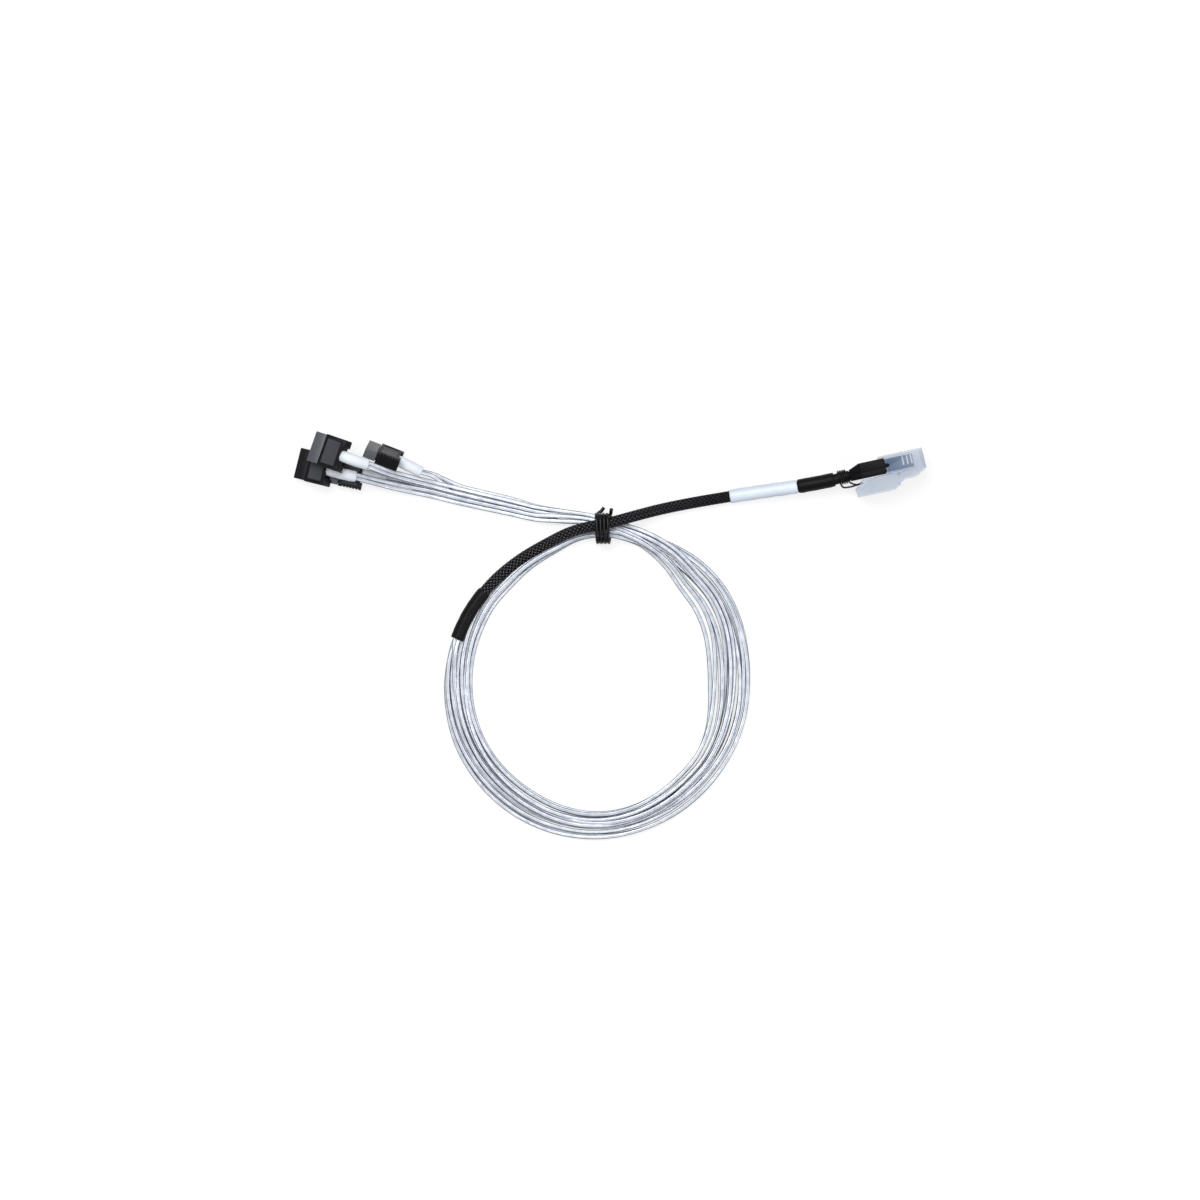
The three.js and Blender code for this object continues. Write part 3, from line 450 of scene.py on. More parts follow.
def line_object(path, tilts=None):
    """The path as a mesh of edges, for a tree to follow."""
    mesh = bpy.data.meshes.new("line")
    mesh.from_pydata([tuple(p) for p in path], [(i, i + 1) for i in range(len(path) - 1)], [])
    tilt = mesh.attributes.new("tilt", "FLOAT", "POINT")
    if tilts:
        tilt.data.foreach_set("value", tilts)
    line = bpy.data.objects.new("line", mesh)
    bpy.context.scene.collection.objects.link(line)
    return line


def flat_pair_tree():
    tree = new_tree(
        "flat_pair",
        {"Width": "Float", "Thickness": "Float", "Edge Radius": "Float", "Material": "Material"},
    )
    given = tree.nodes.new("NodeGroupInput")
    curve = place(tree, "GeometryNodeMeshToCurve", {"Mesh": given.outputs["Geometry"]})
    upright = place(tree, "GeometryNodeSetCurveNormal", {"Curve": curve.outputs[0]}, mode="Z_UP")
    tilt = place(tree, "GeometryNodeInputNamedAttribute", {"Name": "tilt"}, data_type="FLOAT")
    tilted = place(
        tree,
        "GeometryNodeSetCurveTilt",
        {"Curve": upright.outputs[0], "Tilt": tilt.outputs["Attribute"]},
    )
    along = place(tree, "GeometryNodeSplineParameter")
    stored = place(
        tree,
        "GeometryNodeStoreNamedAttribute",
        {"Geometry": tilted.outputs[0], "Name": "along", "Value": along.outputs["Length"]},
        data_type="FLOAT",
        domain="POINT",
    )
    box = place(
        tree,
        "GeometryNodeCurvePrimitiveQuadrilateral",
        {"Width": given.outputs["Width"], "Height": given.outputs["Thickness"]},
        mode="RECTANGLE",
    )
    rounded = place(
        tree,
        "GeometryNodeFilletCurve",
        {"Curve": box.outputs[0], "Count": 2, "Radius": given.outputs["Edge Radius"]},
        mode="POLY",
    )
    spot = place(tree, "GeometryNodeInputPosition")
    sides = place(tree, "ShaderNodeSeparateXYZ", {0: spot.outputs[0]})
    across = reckon(tree, "DIVIDE", sides.outputs["X"], given.outputs["Width"])
    section = place(
        tree,
        "GeometryNodeStoreNamedAttribute",
        {"Geometry": rounded.outputs[0], "Name": "across", "Value": across.outputs[0]},
        data_type="FLOAT",
        domain="POINT",
    )
    swept = place(
        tree,
        "GeometryNodeCurveToMesh",
        {"Curve": stored.outputs[0], "Profile Curve": section.outputs[0], "Fill Caps": True},
    )
    whole = place(tree, "GeometryNodeRealizeInstances", {"Geometry": swept.outputs[0]})
    coloured = place(
        tree,
        "GeometryNodeSetMaterial",
        {"Geometry": whole.outputs[0], "Material": given.outputs["Material"]},
    )
    place(tree, "NodeGroupOutput", {"Geometry": coloured.outputs[0]})
    return tree


FILM_WRAP = 0.0042


def silver_film():
    """Thin aluminised film wrapped round the two conductors, pale and a little blue."""
    material, tree, shader = new_material("silver_film")
    along = place(tree, "ShaderNodeAttribute", attribute_name="along")
    spot = place(tree, "ShaderNodeTexCoord")
    wraps = reckon(tree, "MULTIPLY", along.outputs["Fac"], 2 * math.pi / FILM_WRAP)
    wave = reckon(tree, "SINE", wraps.outputs[0])
    cloud = place(
        tree,
        "ShaderNodeTexNoise",
        {"Vector": spot.outputs["Object"], "Scale": 260.0, "Detail": 3.0, "Roughness": 0.6},
    )
    fine = place(
        tree,
        "ShaderNodeTexNoise",
        {"Vector": spot.outputs["Object"], "Scale": 2400.0, "Detail": 2.0},
    )
    tone = place(tree, "ShaderNodeValToRGB", {"Fac": cloud.outputs["Fac"]})
    tone.color_ramp.elements[0].position = 0.30
    tone.color_ramp.elements[0].color = (0.50, 0.55, 0.64, 1)
    tone.color_ramp.elements[1].position = 0.66
    tone.color_ramp.elements[1].color = (0.76, 0.80, 0.87, 1)
    # Painted shade: the film is darkened towards both edges of each pair and along its middle, where
    # its two conductors meet.
    across = place(tree, "ShaderNodeAttribute", attribute_name="across")
    aside = reckon(tree, "ABSOLUTE", across.outputs["Fac"])
    painted_edge_shade = spread(tree, aside.outputs[0], 0.32, 0.43, 0.0, 0.92)
    painted_groove_shade = spread(tree, aside.outputs[0], 0.0, 0.10, 0.35, 0.0)
    shade = reckon(tree, "MAXIMUM", painted_edge_shade.outputs[0], painted_groove_shade.outputs[0])
    colour = blend(tree, shade.outputs[0], tone.outputs[0], (0.06, 0.07, 0.095, 1))
    tree.links.new(colour.outputs["Result"], shader.inputs["Base Color"])
    height = reckon(tree, "MULTIPLY_ADD", wave.outputs[0], 0.25, fine.outputs["Fac"])
    bump = place(
        tree,
        "ShaderNodeBump",
        {"Height": height.outputs[0], "Strength": 0.35, "Distance": 0.0001},
    )
    tree.links.new(bump.outputs[0], shader.inputs["Normal"])
    shader.inputs["Metallic"].default_value = 0.15
    shader.inputs["Roughness"].default_value = 0.32
    return material


pair_tree = flat_pair_tree()
film = silver_film()
pair_paths = {}
pair_pieces = {}
for index, (name, strand) in enumerate(coil_strands().items()):
    path = pair_path(name, strand, index)
    rng = random.Random(40 + index)
    phases = [rng.uniform(0, 6.28) for _ in range(2)]
    tilts = [
        0.12 * math.sin(0.05 * i + phases[0]) + 0.08 * math.sin(0.13 * i + phases[1])
        for i in range(len(path))
    ]
    pair_paths[name] = path
    pair_pieces[name] = run_tree(
        pair_tree,
        line_object(path, tilts),
        f"flat_pair_{name}",
        {
            "Width": PAIR_WIDTH,
            "Thickness": PAIR_THICKNESS,
            "Edge Radius": 0.42 * PAIR_THICKNESS,
            "Material": film,
        },
    )
    pair_pieces[name].data.shade_smooth()

# The trunk: the eight pairs in one bundle under an open braid of black filaments. Black shrink tubes
# grip the braid at both ends, and a bare pale label is wrapped round it near the host plug.
TRUNK_ROUTE = [
    (-0.0692, -0.0461, 0.0032), (-0.0661, -0.0389, 0.0032), (-0.0622, -0.0320, 0.0032),
    (-0.0571, -0.0251, 0.0032), (-0.0499, -0.0175, 0.0030), (-0.0400, -0.0098, 0.0029),
    (-0.0278, -0.0027, 0.0039), (-0.0195, 0.0014, 0.0072), (-0.0125, 0.0037, 0.0094),
    (-0.0068, 0.0049, 0.00985), (-0.0005, 0.0062, 0.00985), (0.0077, 0.0084, 0.0089),
    (0.0146, 0.0103, 0.0064), (0.0221, 0.0122, 0.0040), (0.0310, 0.0141, 0.0030),
    (0.0401, 0.0158, 0.0030), (0.0527, 0.0179, 0.0034), (0.0620, 0.0193, 0.0042),
    (0.0730, 0.0209, 0.0056), (0.0835, 0.0224, 0.0072), (0.0919, 0.0239, 0.0085),
    (0.0999, 0.0255, 0.0095), (0.1070, 0.02725, 0.0098), (0.1128, 0.02853, 0.0098),
]
CORE_DIAMETER = 0.0038
SLEEVE_RADIUS = 0.0026
CORE_IN_BODY = 0.0059
NECK_TUBE_LENGTH = 0.007
HOST_SHRINK_LENGTH = 0.0164
LABEL_LENGTH = 0.0303
BREAKOUT_LENGTH = 0.0246
SLEEVE_INSET = 0.009
CORE_INSET = 0.011

trunk = smooth_path(TRUNK_ROUTE, 0.0008)
trunk_length = path_length(trunk)
body_back = trunk_length - CORE_IN_BODY
neck_start = body_back - NECK_TUBE_LENGTH
shrink_start = neck_start - HOST_SHRINK_LENGTH
label_start = shrink_start - LABEL_LENGTH
sleeve_end = shrink_start + HOST_SHRINK_LENGTH / 2


def stretch(path, start, end):
    """The points of a path between two distances along it."""
    part = []
    gone = 0
    for a, b in zip(path, path[1:]):
        step = (b - a).length
        if gone <= start < gone + step:
            part.append(a.lerp(b, (start - gone) / step))
        elif start < gone < end:
            part.append(a.copy())
        if gone < end <= gone + step:
            part.append(a.lerp(b, (end - gone) / step))
            return part
        gone += step
    part.append(path[-1].copy())
    return part


def frames_along(path):
    """Tangent, side and up at each point, turning as little as they can."""
    frames = []
    side = None
    for i in range(len(path)):
        tangent = (path[min(i + 1, len(path) - 1)] - path[max(i - 1, 0)]).normalized()
        if side is None:
            side = tangent.cross(Vector((0, 0, 1))).normalized()
        side = (side - tangent * side.dot(tangent)).normalized()
        frames.append((tangent, side, side.cross(tangent).normalized()))
    return frames


def swept_tube(name, path, radius, wall=0.0, sides=28, shape=None):
    """A tube along a path, solid or bored. shape(distance, angle) adds to its outer radius."""
    frames = frames_along(path)
    verts = []
    gone = 0
    rings = len(path)
    for i, (point, (_, side, up)) in enumerate(zip(path, frames)):
        gone += (point - path[i - 1]).length if i else 0
        for j in range(sides):
            angle = 2 * math.pi * j / sides
            r = radius + (shape(gone, angle) if shape else 0)
            verts.append(point + (side * math.cos(angle) + up * math.sin(angle)) * r)
    if wall:
        for point, (_, side, up) in zip(path, frames):
            for j in range(sides):
                angle = 2 * math.pi * j / sides
                out = side * math.cos(angle) + up * math.sin(angle)
                verts.append(point + out * (radius - wall))
    faces = []
    for i in range(rings - 1):
        for j in range(sides):
            k = (j + 1) % sides
            a, b, c, d = i * sides + j, i * sides + k, (i + 1) * sides + k, (i + 1) * sides + j
            faces.append((a, b, c, d))
            if wall:
                base = rings * sides
                faces.append((base + d, base + c, base + b, base + a))
    if wall:
        base = rings * sides
        last = (rings - 1) * sides
        for j in range(sides):
            k = (j + 1) % sides
            faces.append((j, base + j, base + k, k))
            faces.append((last + k, base + last + k, base + last + j, last + j))
    else:
        faces.append(tuple(reversed(range(sides))))
        faces.append(tuple(range((rings - 1) * sides, rings * sides)))
    piece = link_mesh(name, verts, faces)
    outwards = bmesh.new()
    outwards.from_mesh(piece.data)
    bmesh.ops.recalc_face_normals(outwards, faces=outwards.faces)
    outwards.to_mesh(piece.data)
    outwards.free()
    piece.data.shade_smooth()
    return piece


def braid_tree():
    """Two families of flat filaments round the curve, each passing over and under the other."""
    tree = new_tree(
        "braid",
        {
            "Carriers": "Int",
            "Pitch": "Float",
            "Radius": "Float",
            "Wave": "Float",
            "Strand Width": "Float",
            "Strand Thickness": "Float",
            "Step": "Float",
            "Material": "Material",
        },
    )
    given = tree.nodes.new("NodeGroupInput")
    curve = place(tree, "GeometryNodeMeshToCurve", {"Mesh": given.outputs["Geometry"]})
    even = place(
        tree,
        "GeometryNodeResampleCurve",
        {"Curve": curve.outputs[0], "Length": given.outputs["Step"]},
        mode="LENGTH",
    )
    joined = tree.nodes.new("GeometryNodeJoinGeometry")
    section = place(
        tree,
        "GeometryNodeCurvePrimitiveQuadrilateral",
        {"Width": given.outputs["Strand Thickness"], "Height": given.outputs["Strand Width"]},
        mode="RECTANGLE",
    )
    for direction in (1, -1):
        copies = place(
            tree,
            "GeometryNodeDuplicateElements",
            {"Geometry": even.outputs[0], "Amount": given.outputs["Carriers"]},
            domain="SPLINE",
        )
        share = reckon(tree, "DIVIDE", copies.outputs["Duplicate Index"], given.outputs["Carriers"])
        along = place(tree, "GeometryNodeSplineParameter")
        turns = reckon(tree, "DIVIDE", along.outputs["Length"], given.outputs["Pitch"])
        phase = reckon(tree, "MULTIPLY_ADD", turns.outputs[0], float(direction), share.outputs[0])
        angle = reckon(tree, "MULTIPLY", phase.outputs[0], 2 * math.pi)
        crossings = reckon(tree, "MULTIPLY", angle.outputs[0], given.outputs["Carriers"])
        over = reckon(tree, "COSINE", crossings.outputs[0])
        lift = reckon(tree, "MULTIPLY", over.outputs[0], given.outputs["Wave"])
        out = reckon(
            tree, "MULTIPLY_ADD", lift.outputs[0], float(direction), given.outputs["Radius"]
        )
        normal = place(tree, "GeometryNodeInputNormal")
        tangent = place(tree, "GeometryNodeInputTangent")
        pointing = place(
            tree,
            "ShaderNodeVectorRotate",
            {
                "Vector": normal.outputs[0],
                "Axis": tangent.outputs[0],
                "Angle": angle.outputs[0],
            },
            rotation_type="AXIS_ANGLE",
        )
        offset = place(
            tree,
            "ShaderNodeVectorMath",
            {0: pointing.outputs[0], "Scale": out.outputs[0]},
            operation="SCALE",
        )
        crest = reckon(tree, "MULTIPLY", over.outputs[0], float(direction))
        crested = place(
            tree,
            "GeometryNodeStoreNamedAttribute",
            {"Geometry": copies.outputs[0], "Name": "crest", "Value": crest.outputs[0]},
            data_type="FLOAT",
            domain="POINT",
        )
        kept = place(
            tree,
            "GeometryNodeStoreNamedAttribute",
            {"Geometry": crested.outputs[0], "Name": "pointing", "Value": pointing.outputs[0]},
            data_type="FLOAT_VECTOR",
            domain="POINT",
        )
        wound = place(
            tree,
            "GeometryNodeSetPosition",
            {"Geometry": kept.outputs[0], "Offset": offset.outputs[0]},
        )
        stored = place(
            tree,
            "GeometryNodeInputNamedAttribute",
            {"Name": "pointing"},
            data_type="FLOAT_VECTOR",
        )
        turned = place(
            tree,
            "GeometryNodeSetCurveNormal",
            {"Curve": wound.outputs[0], "Normal": stored.outputs["Attribute"]},
            mode="FREE",
        )
        swept = place(
            tree,
            "GeometryNodeCurveToMesh",
            {"Curve": turned.outputs[0], "Profile Curve": section.outputs[0], "Fill Caps": True},
        )
        tree.links.new(swept.outputs[0], joined.inputs[0])
    whole = place(tree, "GeometryNodeRealizeInstances", {"Geometry": joined.outputs[0]})
    coloured = place(
        tree,
        "GeometryNodeSetMaterial",
        {"Geometry": whole.outputs[0], "Material": given.outputs["Material"]},
    )
    place(tree, "NodeGroupOutput", {"Geometry": coloured.outputs[0]})
    return tree


def flecked_material(name, dark, light, scale, roughness, metallic=0):
    """Two tones mixed by a fine noise, as on metal and on the card's mask."""
    material, tree, shader = new_material(name)
    spot = place(tree, "ShaderNodeTexCoord")
    noise = place(tree, "ShaderNodeTexNoise", {"Vector": spot.outputs["Object"], "Scale": scale})
    tone = place(tree, "ShaderNodeValToRGB", {"Fac": noise.outputs["Fac"]})
    tone.color_ramp.elements[0].color = (*dark, 1)
    tone.color_ramp.elements[1].color = (*light, 1)
    tree.links.new(tone.outputs[0], shader.inputs["Base Color"])
    shader.inputs["Metallic"].default_value = metallic
    shader.inputs["Roughness"].default_value = roughness
    return material


def look_group(tree):
    """The group node that a material of soft_material or moulded_material is made with."""
    return next(node for node in tree.nodes if node.type == "GROUP")


def soft_surface_group():
    """Uneven tone and a fine bump, as on shrunk tubes, cords and film: one group for them all."""
    tree = bpy.data.node_groups.new("soft_surface", "ShaderNodeTree")
    kinds = {"Dark": "Color", "Light": "Color", "Scale": "Float", "Depth": "Float"}
    for label, kind in kinds.items():
        tree.interface.new_socket(label, in_out="INPUT", socket_type=f"NodeSocket{kind}")
    tree.interface.new_socket("Color", in_out="OUTPUT", socket_type="NodeSocketColor")
    tree.interface.new_socket("Normal", in_out="OUTPUT", socket_type="NodeSocketVector")
    given = tree.nodes.new("NodeGroupInput")
    spot = place(tree, "ShaderNodeTexCoord")
    broad = place(
        tree,
        "ShaderNodeTexNoise",
        {"Vector": spot.outputs["Object"], "Scale": given.outputs["Scale"], "Detail": 4.0},
    )
    mixed = blend(tree, broad.outputs["Fac"], given.outputs["Dark"], given.outputs["Light"])
    finer = reckon(tree, "MULTIPLY", given.outputs["Scale"], 9.0)
    grain = place(
        tree,
        "ShaderNodeTexNoise",
        {"Vector": spot.outputs["Object"], "Scale": finer.outputs[0], "Detail": 3.0},
    )
    bump = place(
        tree,
        "ShaderNodeBump",
        {"Height": grain.outputs["Fac"], "Strength": given.outputs["Depth"], "Distance": 0.0001},
    )
    ends = tree.nodes.new("NodeGroupOutput")
    tree.links.new(mixed.outputs["Result"], ends.inputs["Color"])
    tree.links.new(bump.outputs[0], ends.inputs["Normal"])
    return tree


soft_surface = soft_surface_group()


def soft_material(name, dark, light, scale, depth, roughness, specular=0.5):
    """A material of the soft_surface group with its own values."""
    material, tree, shader = new_material(name)
    group = tree.nodes.new("ShaderNodeGroup")
    group.node_tree = soft_surface
    group.inputs["Dark"].default_value = (*dark, 1)
    group.inputs["Light"].default_value = (*light, 1)
    group.inputs["Scale"].default_value = scale
    group.inputs["Depth"].default_value = depth
    tree.links.new(group.outputs["Color"], shader.inputs["Base Color"])
    tree.links.new(group.outputs["Normal"], shader.inputs["Normal"])
    shader.inputs["Roughness"].default_value = roughness
    shader.inputs["Specular IOR Level"].default_value = specular
    return material


black_filament = soft_material(
    "black_filament", (0.002, 0.002, 0.003), (0.006, 0.006, 0.008), 900, 0.3, 0.4, 0.12
)
# Painted highlight: the near-black filaments are lightened to grey where they pass over the top of
# the weave, as glints.
CREST_HIGHLIGHT = (0.24, 0.24, 0.27, 1)
braid_shader = black_filament.node_tree
on_top = place(braid_shader, "ShaderNodeAttribute", attribute_name="crest")
glint = spread(braid_shader, on_top.outputs["Fac"], 0.80, 1.0, 0.0, 1.0)
braid_look = look_group(braid_shader)
braid_tone_and_glints = blend(braid_shader, glint.outputs[0], braid_look.outputs["Color"], CREST_HIGHLIGHT)
braid_shader.links.new(
    braid_tone_and_glints.outputs["Result"], braid_shader.nodes["Principled BSDF"].inputs["Base Color"]
)
black_tube = soft_material(
    "black_shrink_tube", (0.002, 0.002, 0.003), (0.006, 0.006, 0.007), 320, 0.5, 0.45, 0.12
)
white_tube = soft_material(
    "white_shrink_tube", (0.66, 0.71, 0.79), (0.80, 0.84, 0.90), 300, 0.4, 0.42
)
label_film = soft_material("label_film", (0.60, 0.68, 0.80), (0.74, 0.81, 0.90), 160, 0.25, 0.4)
core_wrap = soft_material(
    "core_wrap", (0.002, 0.002, 0.003), (0.005, 0.005, 0.006), 500, 0.4, 0.6, 0.1
)

core_path = stretch(trunk, CORE_INSET, trunk_length - 0.0002)
core = swept_tube("trunk_core", core_path[::2], CORE_DIAMETER / 2, sides=20)
core.data.materials.append(core_wrap)

sleeve_path = stretch(trunk, SLEEVE_INSET, sleeve_end)
braid = run_tree(
    braid_tree(),
    line_object(sleeve_path),
    "sleeve_braid",
    {
        "Carriers": 8,
        "Pitch": 0.016,
        "Radius": SLEEVE_RADIUS - 0.0003,
        "Wave": 0.00017,
        "Strand Width": 0.00115,
        "Strand Thickness": 0.0002,
        "Step": 0.0005,
        "Material": black_filament,
    },
)


def wrinkled(seed, depth, length):
    """A shrink tube's outer surface: shallow creases across it and a lip drawn in at both ends."""
    rng = random.Random(seed)
    waves = [
        (rng.uniform(500, 2100), rng.uniform(0, 6.28), rng.choice((1, 2, 3))) for _ in range(6)
    ]

    def shape(distance, angle):
        value = sum(math.sin(f * distance + p + n * angle) for f, p, n in waves) / 6
        lip = min(distance, length - distance)
        return depth * value - 0.00012 * math.exp(-lip / 0.0006)

    return shape


breakout = swept_tube(
    "breakout_tube",
    stretch(trunk, 0, BREAKOUT_LENGTH),
    0.00305,
    0.0003,
    shape=wrinkled(3, 0.0001, BREAKOUT_LENGTH),
)
breakout.data.materials.append(black_tube)
label = swept_tube(
    "bare_label",
    stretch(trunk, label_start - 0.001, shrink_start - 0.0003),
    0.00305,
    0.0003,
    shape=wrinkled(8, 0.00012, LABEL_LENGTH),
)
label.data.materials.append(label_film)
host_tube = swept_tube(
    "host_shrink",
    stretch(trunk, shrink_start, neck_start),
    0.0032,
    0.0004,
    shape=wrinkled(5, 0.00012, HOST_SHRINK_LENGTH),
)
host_tube.data.materials.append(black_tube)
neck = swept_tube(
    "neck_sheath",
    stretch(trunk, sleeve_end + 0.0003, body_back),
    0.00245,
    0.0003,
    shape=wrinkled(6, 0.00005, 0.0155),
)
neck.data.materials.append(black_tube)

for piece, node in [
    (core, "cable_core"),
    (braid, "braided_sleeve"),
    (breakout, "breakout_shrink_tube"),
    (label, "label_sleeve"),
    (host_tube, "host_shrink_tube"),
    (neck, "neck_tube"),
]:
    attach(piece, "root")
    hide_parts(node)

# The wire tie: stiff black coated wire wound four times round the coil, the ribbon and the trunk,
# its two ends cut and left standing up beside it.
TIE_DIAMETER = 0.0016
TIE_PITCH = 0.00165
TIE_TURNS = 4
TIE_CENTRE = Vector((-0.0001, 0.0036, 0.0071))
TIE_HALF_WIDTH = 0.0063
TIE_HALF_HEIGHT = 0.00629
TIE_SQUARENESS = 4


def tie_path():
    def bulge(value):
        return math.copysign(abs(value) ** (2 / TIE_SQUARENESS), value)

    points = [(0.0002, 0.0122, 0.0116), (0.0000, 0.0107, 0.0098)]
    for i in range(1, TIE_TURNS * 24):
        turn = i / 24
        angle = -turn * 2 * math.pi
        points.append(
            (
                TIE_CENTRE.x - turn * TIE_PITCH,
                TIE_CENTRE.y + TIE_HALF_WIDTH * bulge(math.cos(angle)),
                TIE_CENTRE.z + TIE_HALF_HEIGHT * bulge(math.sin(angle)),
            )
        )
    points += [
        (-0.0060, 0.0103, 0.0050), (-0.0046, 0.0112, 0.0046), (-0.0035, 0.0125, 0.0044),
        (-0.0031, 0.0131, 0.0044),
    ]
    return smooth_path(points, 0.0007)


tie = swept_tube("wire_tie", tie_path(), TIE_DIAMETER / 2, sides=14)
tie_coat = soft_material(
    "tie_coat", (0.002, 0.002, 0.003), (0.005, 0.005, 0.006), 500, 0.2, 0.3, 0.25
)
tie.data.materials.append(tie_coat)
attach(tie, "root")
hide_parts("coil_tie")

# The drive plugs: a satin grey-black housing with an L-shaped slot over seven gilt contacts, and a
# darker ribbed cover snapped over its back. White tube marks each plug's pair of wires.
def softened(node, name, width, segments=2):
    """A copy of a CAD node, its flat faces whole and its edges rounded, standing for the node."""
    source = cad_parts[node]
    mesh = source.data.copy()
    mesh.materials.clear()
    piece = bpy.data.objects.new(name, mesh)
    bpy.context.scene.collection.objects.link(piece)
    whole = bmesh.new()
    whole.from_mesh(mesh)
    bmesh.ops.remove_doubles(whole, verts=whole.verts, dist=1e-6)
    bmesh.ops.dissolve_limit(
        whole, angle_limit=math.radians(1), verts=whole.verts, edges=whole.edges
    )
    whole.to_mesh(mesh)
    whole.free()
    rounding = piece.modifiers.new("rounding", "BEVEL")
    rounding.width = width
    rounding.segments = segments
    rounding.limit_method = "ANGLE"
    rounding.angle_limit = math.radians(35)
    rounding.harden_normals = True
    mesh.shade_smooth()
    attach(piece, "root")
    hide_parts(node)
    return piece


def moulded_group():
    """Injection-moulded plastic: fine spark-eroded grain, faint flow marks and a little dust."""
    tree = bpy.data.node_groups.new("moulded", "ShaderNodeTree")
    for label, kind in {
        "Color": "Color",
        "Dust": "Color",
        "Grain": "Float",
        "Depth": "Float",
        "Sheen": "Float",
    }.items():
        tree.interface.new_socket(label, in_out="INPUT", socket_type=f"NodeSocket{kind}")
    tree.interface.new_socket("Color", in_out="OUTPUT", socket_type="NodeSocketColor")
    tree.interface.new_socket("Roughness", in_out="OUTPUT", socket_type="NodeSocketFloat")
    tree.interface.new_socket("Normal", in_out="OUTPUT", socket_type="NodeSocketVector")
    given = tree.nodes.new("NodeGroupInput")
    spot = place(tree, "ShaderNodeTexCoord")
    flow = place(
        tree,
        "ShaderNodeTexNoise",
        {"Vector": spot.outputs["Object"], "Scale": 220.0, "Detail": 4.0, "Roughness": 0.65},
    )
    speck = place(
        tree,
        "ShaderNodeTexNoise",
        {"Vector": spot.outputs["Object"], "Scale": 1500.0, "Detail": 2.0},
    )
    dusty = spread(tree, speck.outputs["Fac"], 0.6, 0.75, 0.0, 0.5)
    worn = reckon(tree, "MULTIPLY", dusty.outputs[0], flow.outputs["Fac"])
    colour = blend(tree, worn.outputs[0], given.outputs["Color"], given.outputs["Dust"])
    rough = reckon(tree, "MULTIPLY_ADD", flow.outputs["Fac"], 0.2, given.outputs["Sheen"])
    grain = place(
        tree,
        "ShaderNodeTexNoise",
        {"Vector": spot.outputs["Object"], "Scale": given.outputs["Grain"], "Detail": 2.0},
    )
    bump = place(
        tree,
        "ShaderNodeBump",
        {"Height": grain.outputs["Fac"], "Strength": given.outputs["Depth"], "Distance": 0.0001},
    )
    ends = tree.nodes.new("NodeGroupOutput")
    tree.links.new(colour.outputs["Result"], ends.inputs["Color"])
    tree.links.new(rough.outputs[0], ends.inputs["Roughness"])
    tree.links.new(bump.outputs[0], ends.inputs["Normal"])
    return tree


moulded = moulded_group()


def moulded_material(name, color, dust, grain, depth, sheen, specular):
    """A material of the moulded group with its own values."""
    material, tree, shader = new_material(name)
    group = tree.nodes.new("ShaderNodeGroup")
    group.node_tree = moulded
    group.inputs["Color"].default_value = (*color, 1)
    group.inputs["Dust"].default_value = (*dust, 1)
    group.inputs["Grain"].default_value = grain
    group.inputs["Depth"].default_value = depth
    group.inputs["Sheen"].default_value = sheen
    tree.links.new(group.outputs["Color"], shader.inputs["Base Color"])
    tree.links.new(group.outputs["Roughness"], shader.inputs["Roughness"])
    tree.links.new(group.outputs["Normal"], shader.inputs["Normal"])
    shader.inputs["Specular IOR Level"].default_value = specular
    return material


grey_nose = moulded_material(
    "grey_nose_plastic", (0.088, 0.090, 0.108), (0.2, 0.2, 0.22), 3200, 0.5, 0.30, 0.4
)
# Painted shade: a darker copy of the grey nose plastic, for plug b's housing.
shaded_nose = moulded_material(
    "shaded_nose_plastic", (0.010, 0.010, 0.013), (0.05, 0.05, 0.06), 3200, 0.5, 0.34, 0.15
)
COVER_TONE = (0.006, 0.006, 0.008)
cover_plastic = moulded_material(
    "plug_cover_plastic", COVER_TONE, (0.06, 0.06, 0.07), 2600, 0.6, 0.34, 0.15
)
PANEL_TONE = (0.055, 0.057, 0.066, 1)
cover_tree = cover_plastic.node_tree
on_panel = place(cover_tree, "ShaderNodeAttribute", attribute_name="panel")
cover_tone = blend(cover_tree, on_panel.outputs["Fac"], (*COVER_TONE, 1), PANEL_TONE)
cover_look = look_group(cover_tree)
cover_tree.links.new(cover_tone.outputs["Result"], cover_look.inputs["Color"])
gilt = flecked_material(
    "gilt_contacts", (0.72, 0.48, 0.16), (0.95, 0.72, 0.34), 1800.0, 0.25, 1
)

PANEL_HEIGHT = 0.00255
PANEL_NEAR = 0.0001


def mark_panels(cover, letter):
    """Marks the two recessed panels, by their height above the plug's middle."""
    middle = plug_point(letter, 0, 0)
    through = plug_point(letter, 0, 0, 1) - middle
    marked = cover.data.attributes.new("panel", "FLOAT", "FACE")
    for face in cover.data.polygons:
        height = abs((face.center - middle).dot(through))
        marked.data[face.index].value = float(abs(height - PANEL_HEIGHT) < PANEL_NEAR)


def oval(seed, length):
    """A shrunk tube over two flat pairs: wider across than it is thick, and a little creased."""
    creases = wrinkled(seed, 0.0001, length)

    def shape(distance, angle):
        wider = 0.0004 * math.cos(angle) ** 2
        return creases(distance, angle) + wider - 0.0001 * math.sin(angle) ** 2

    return shape


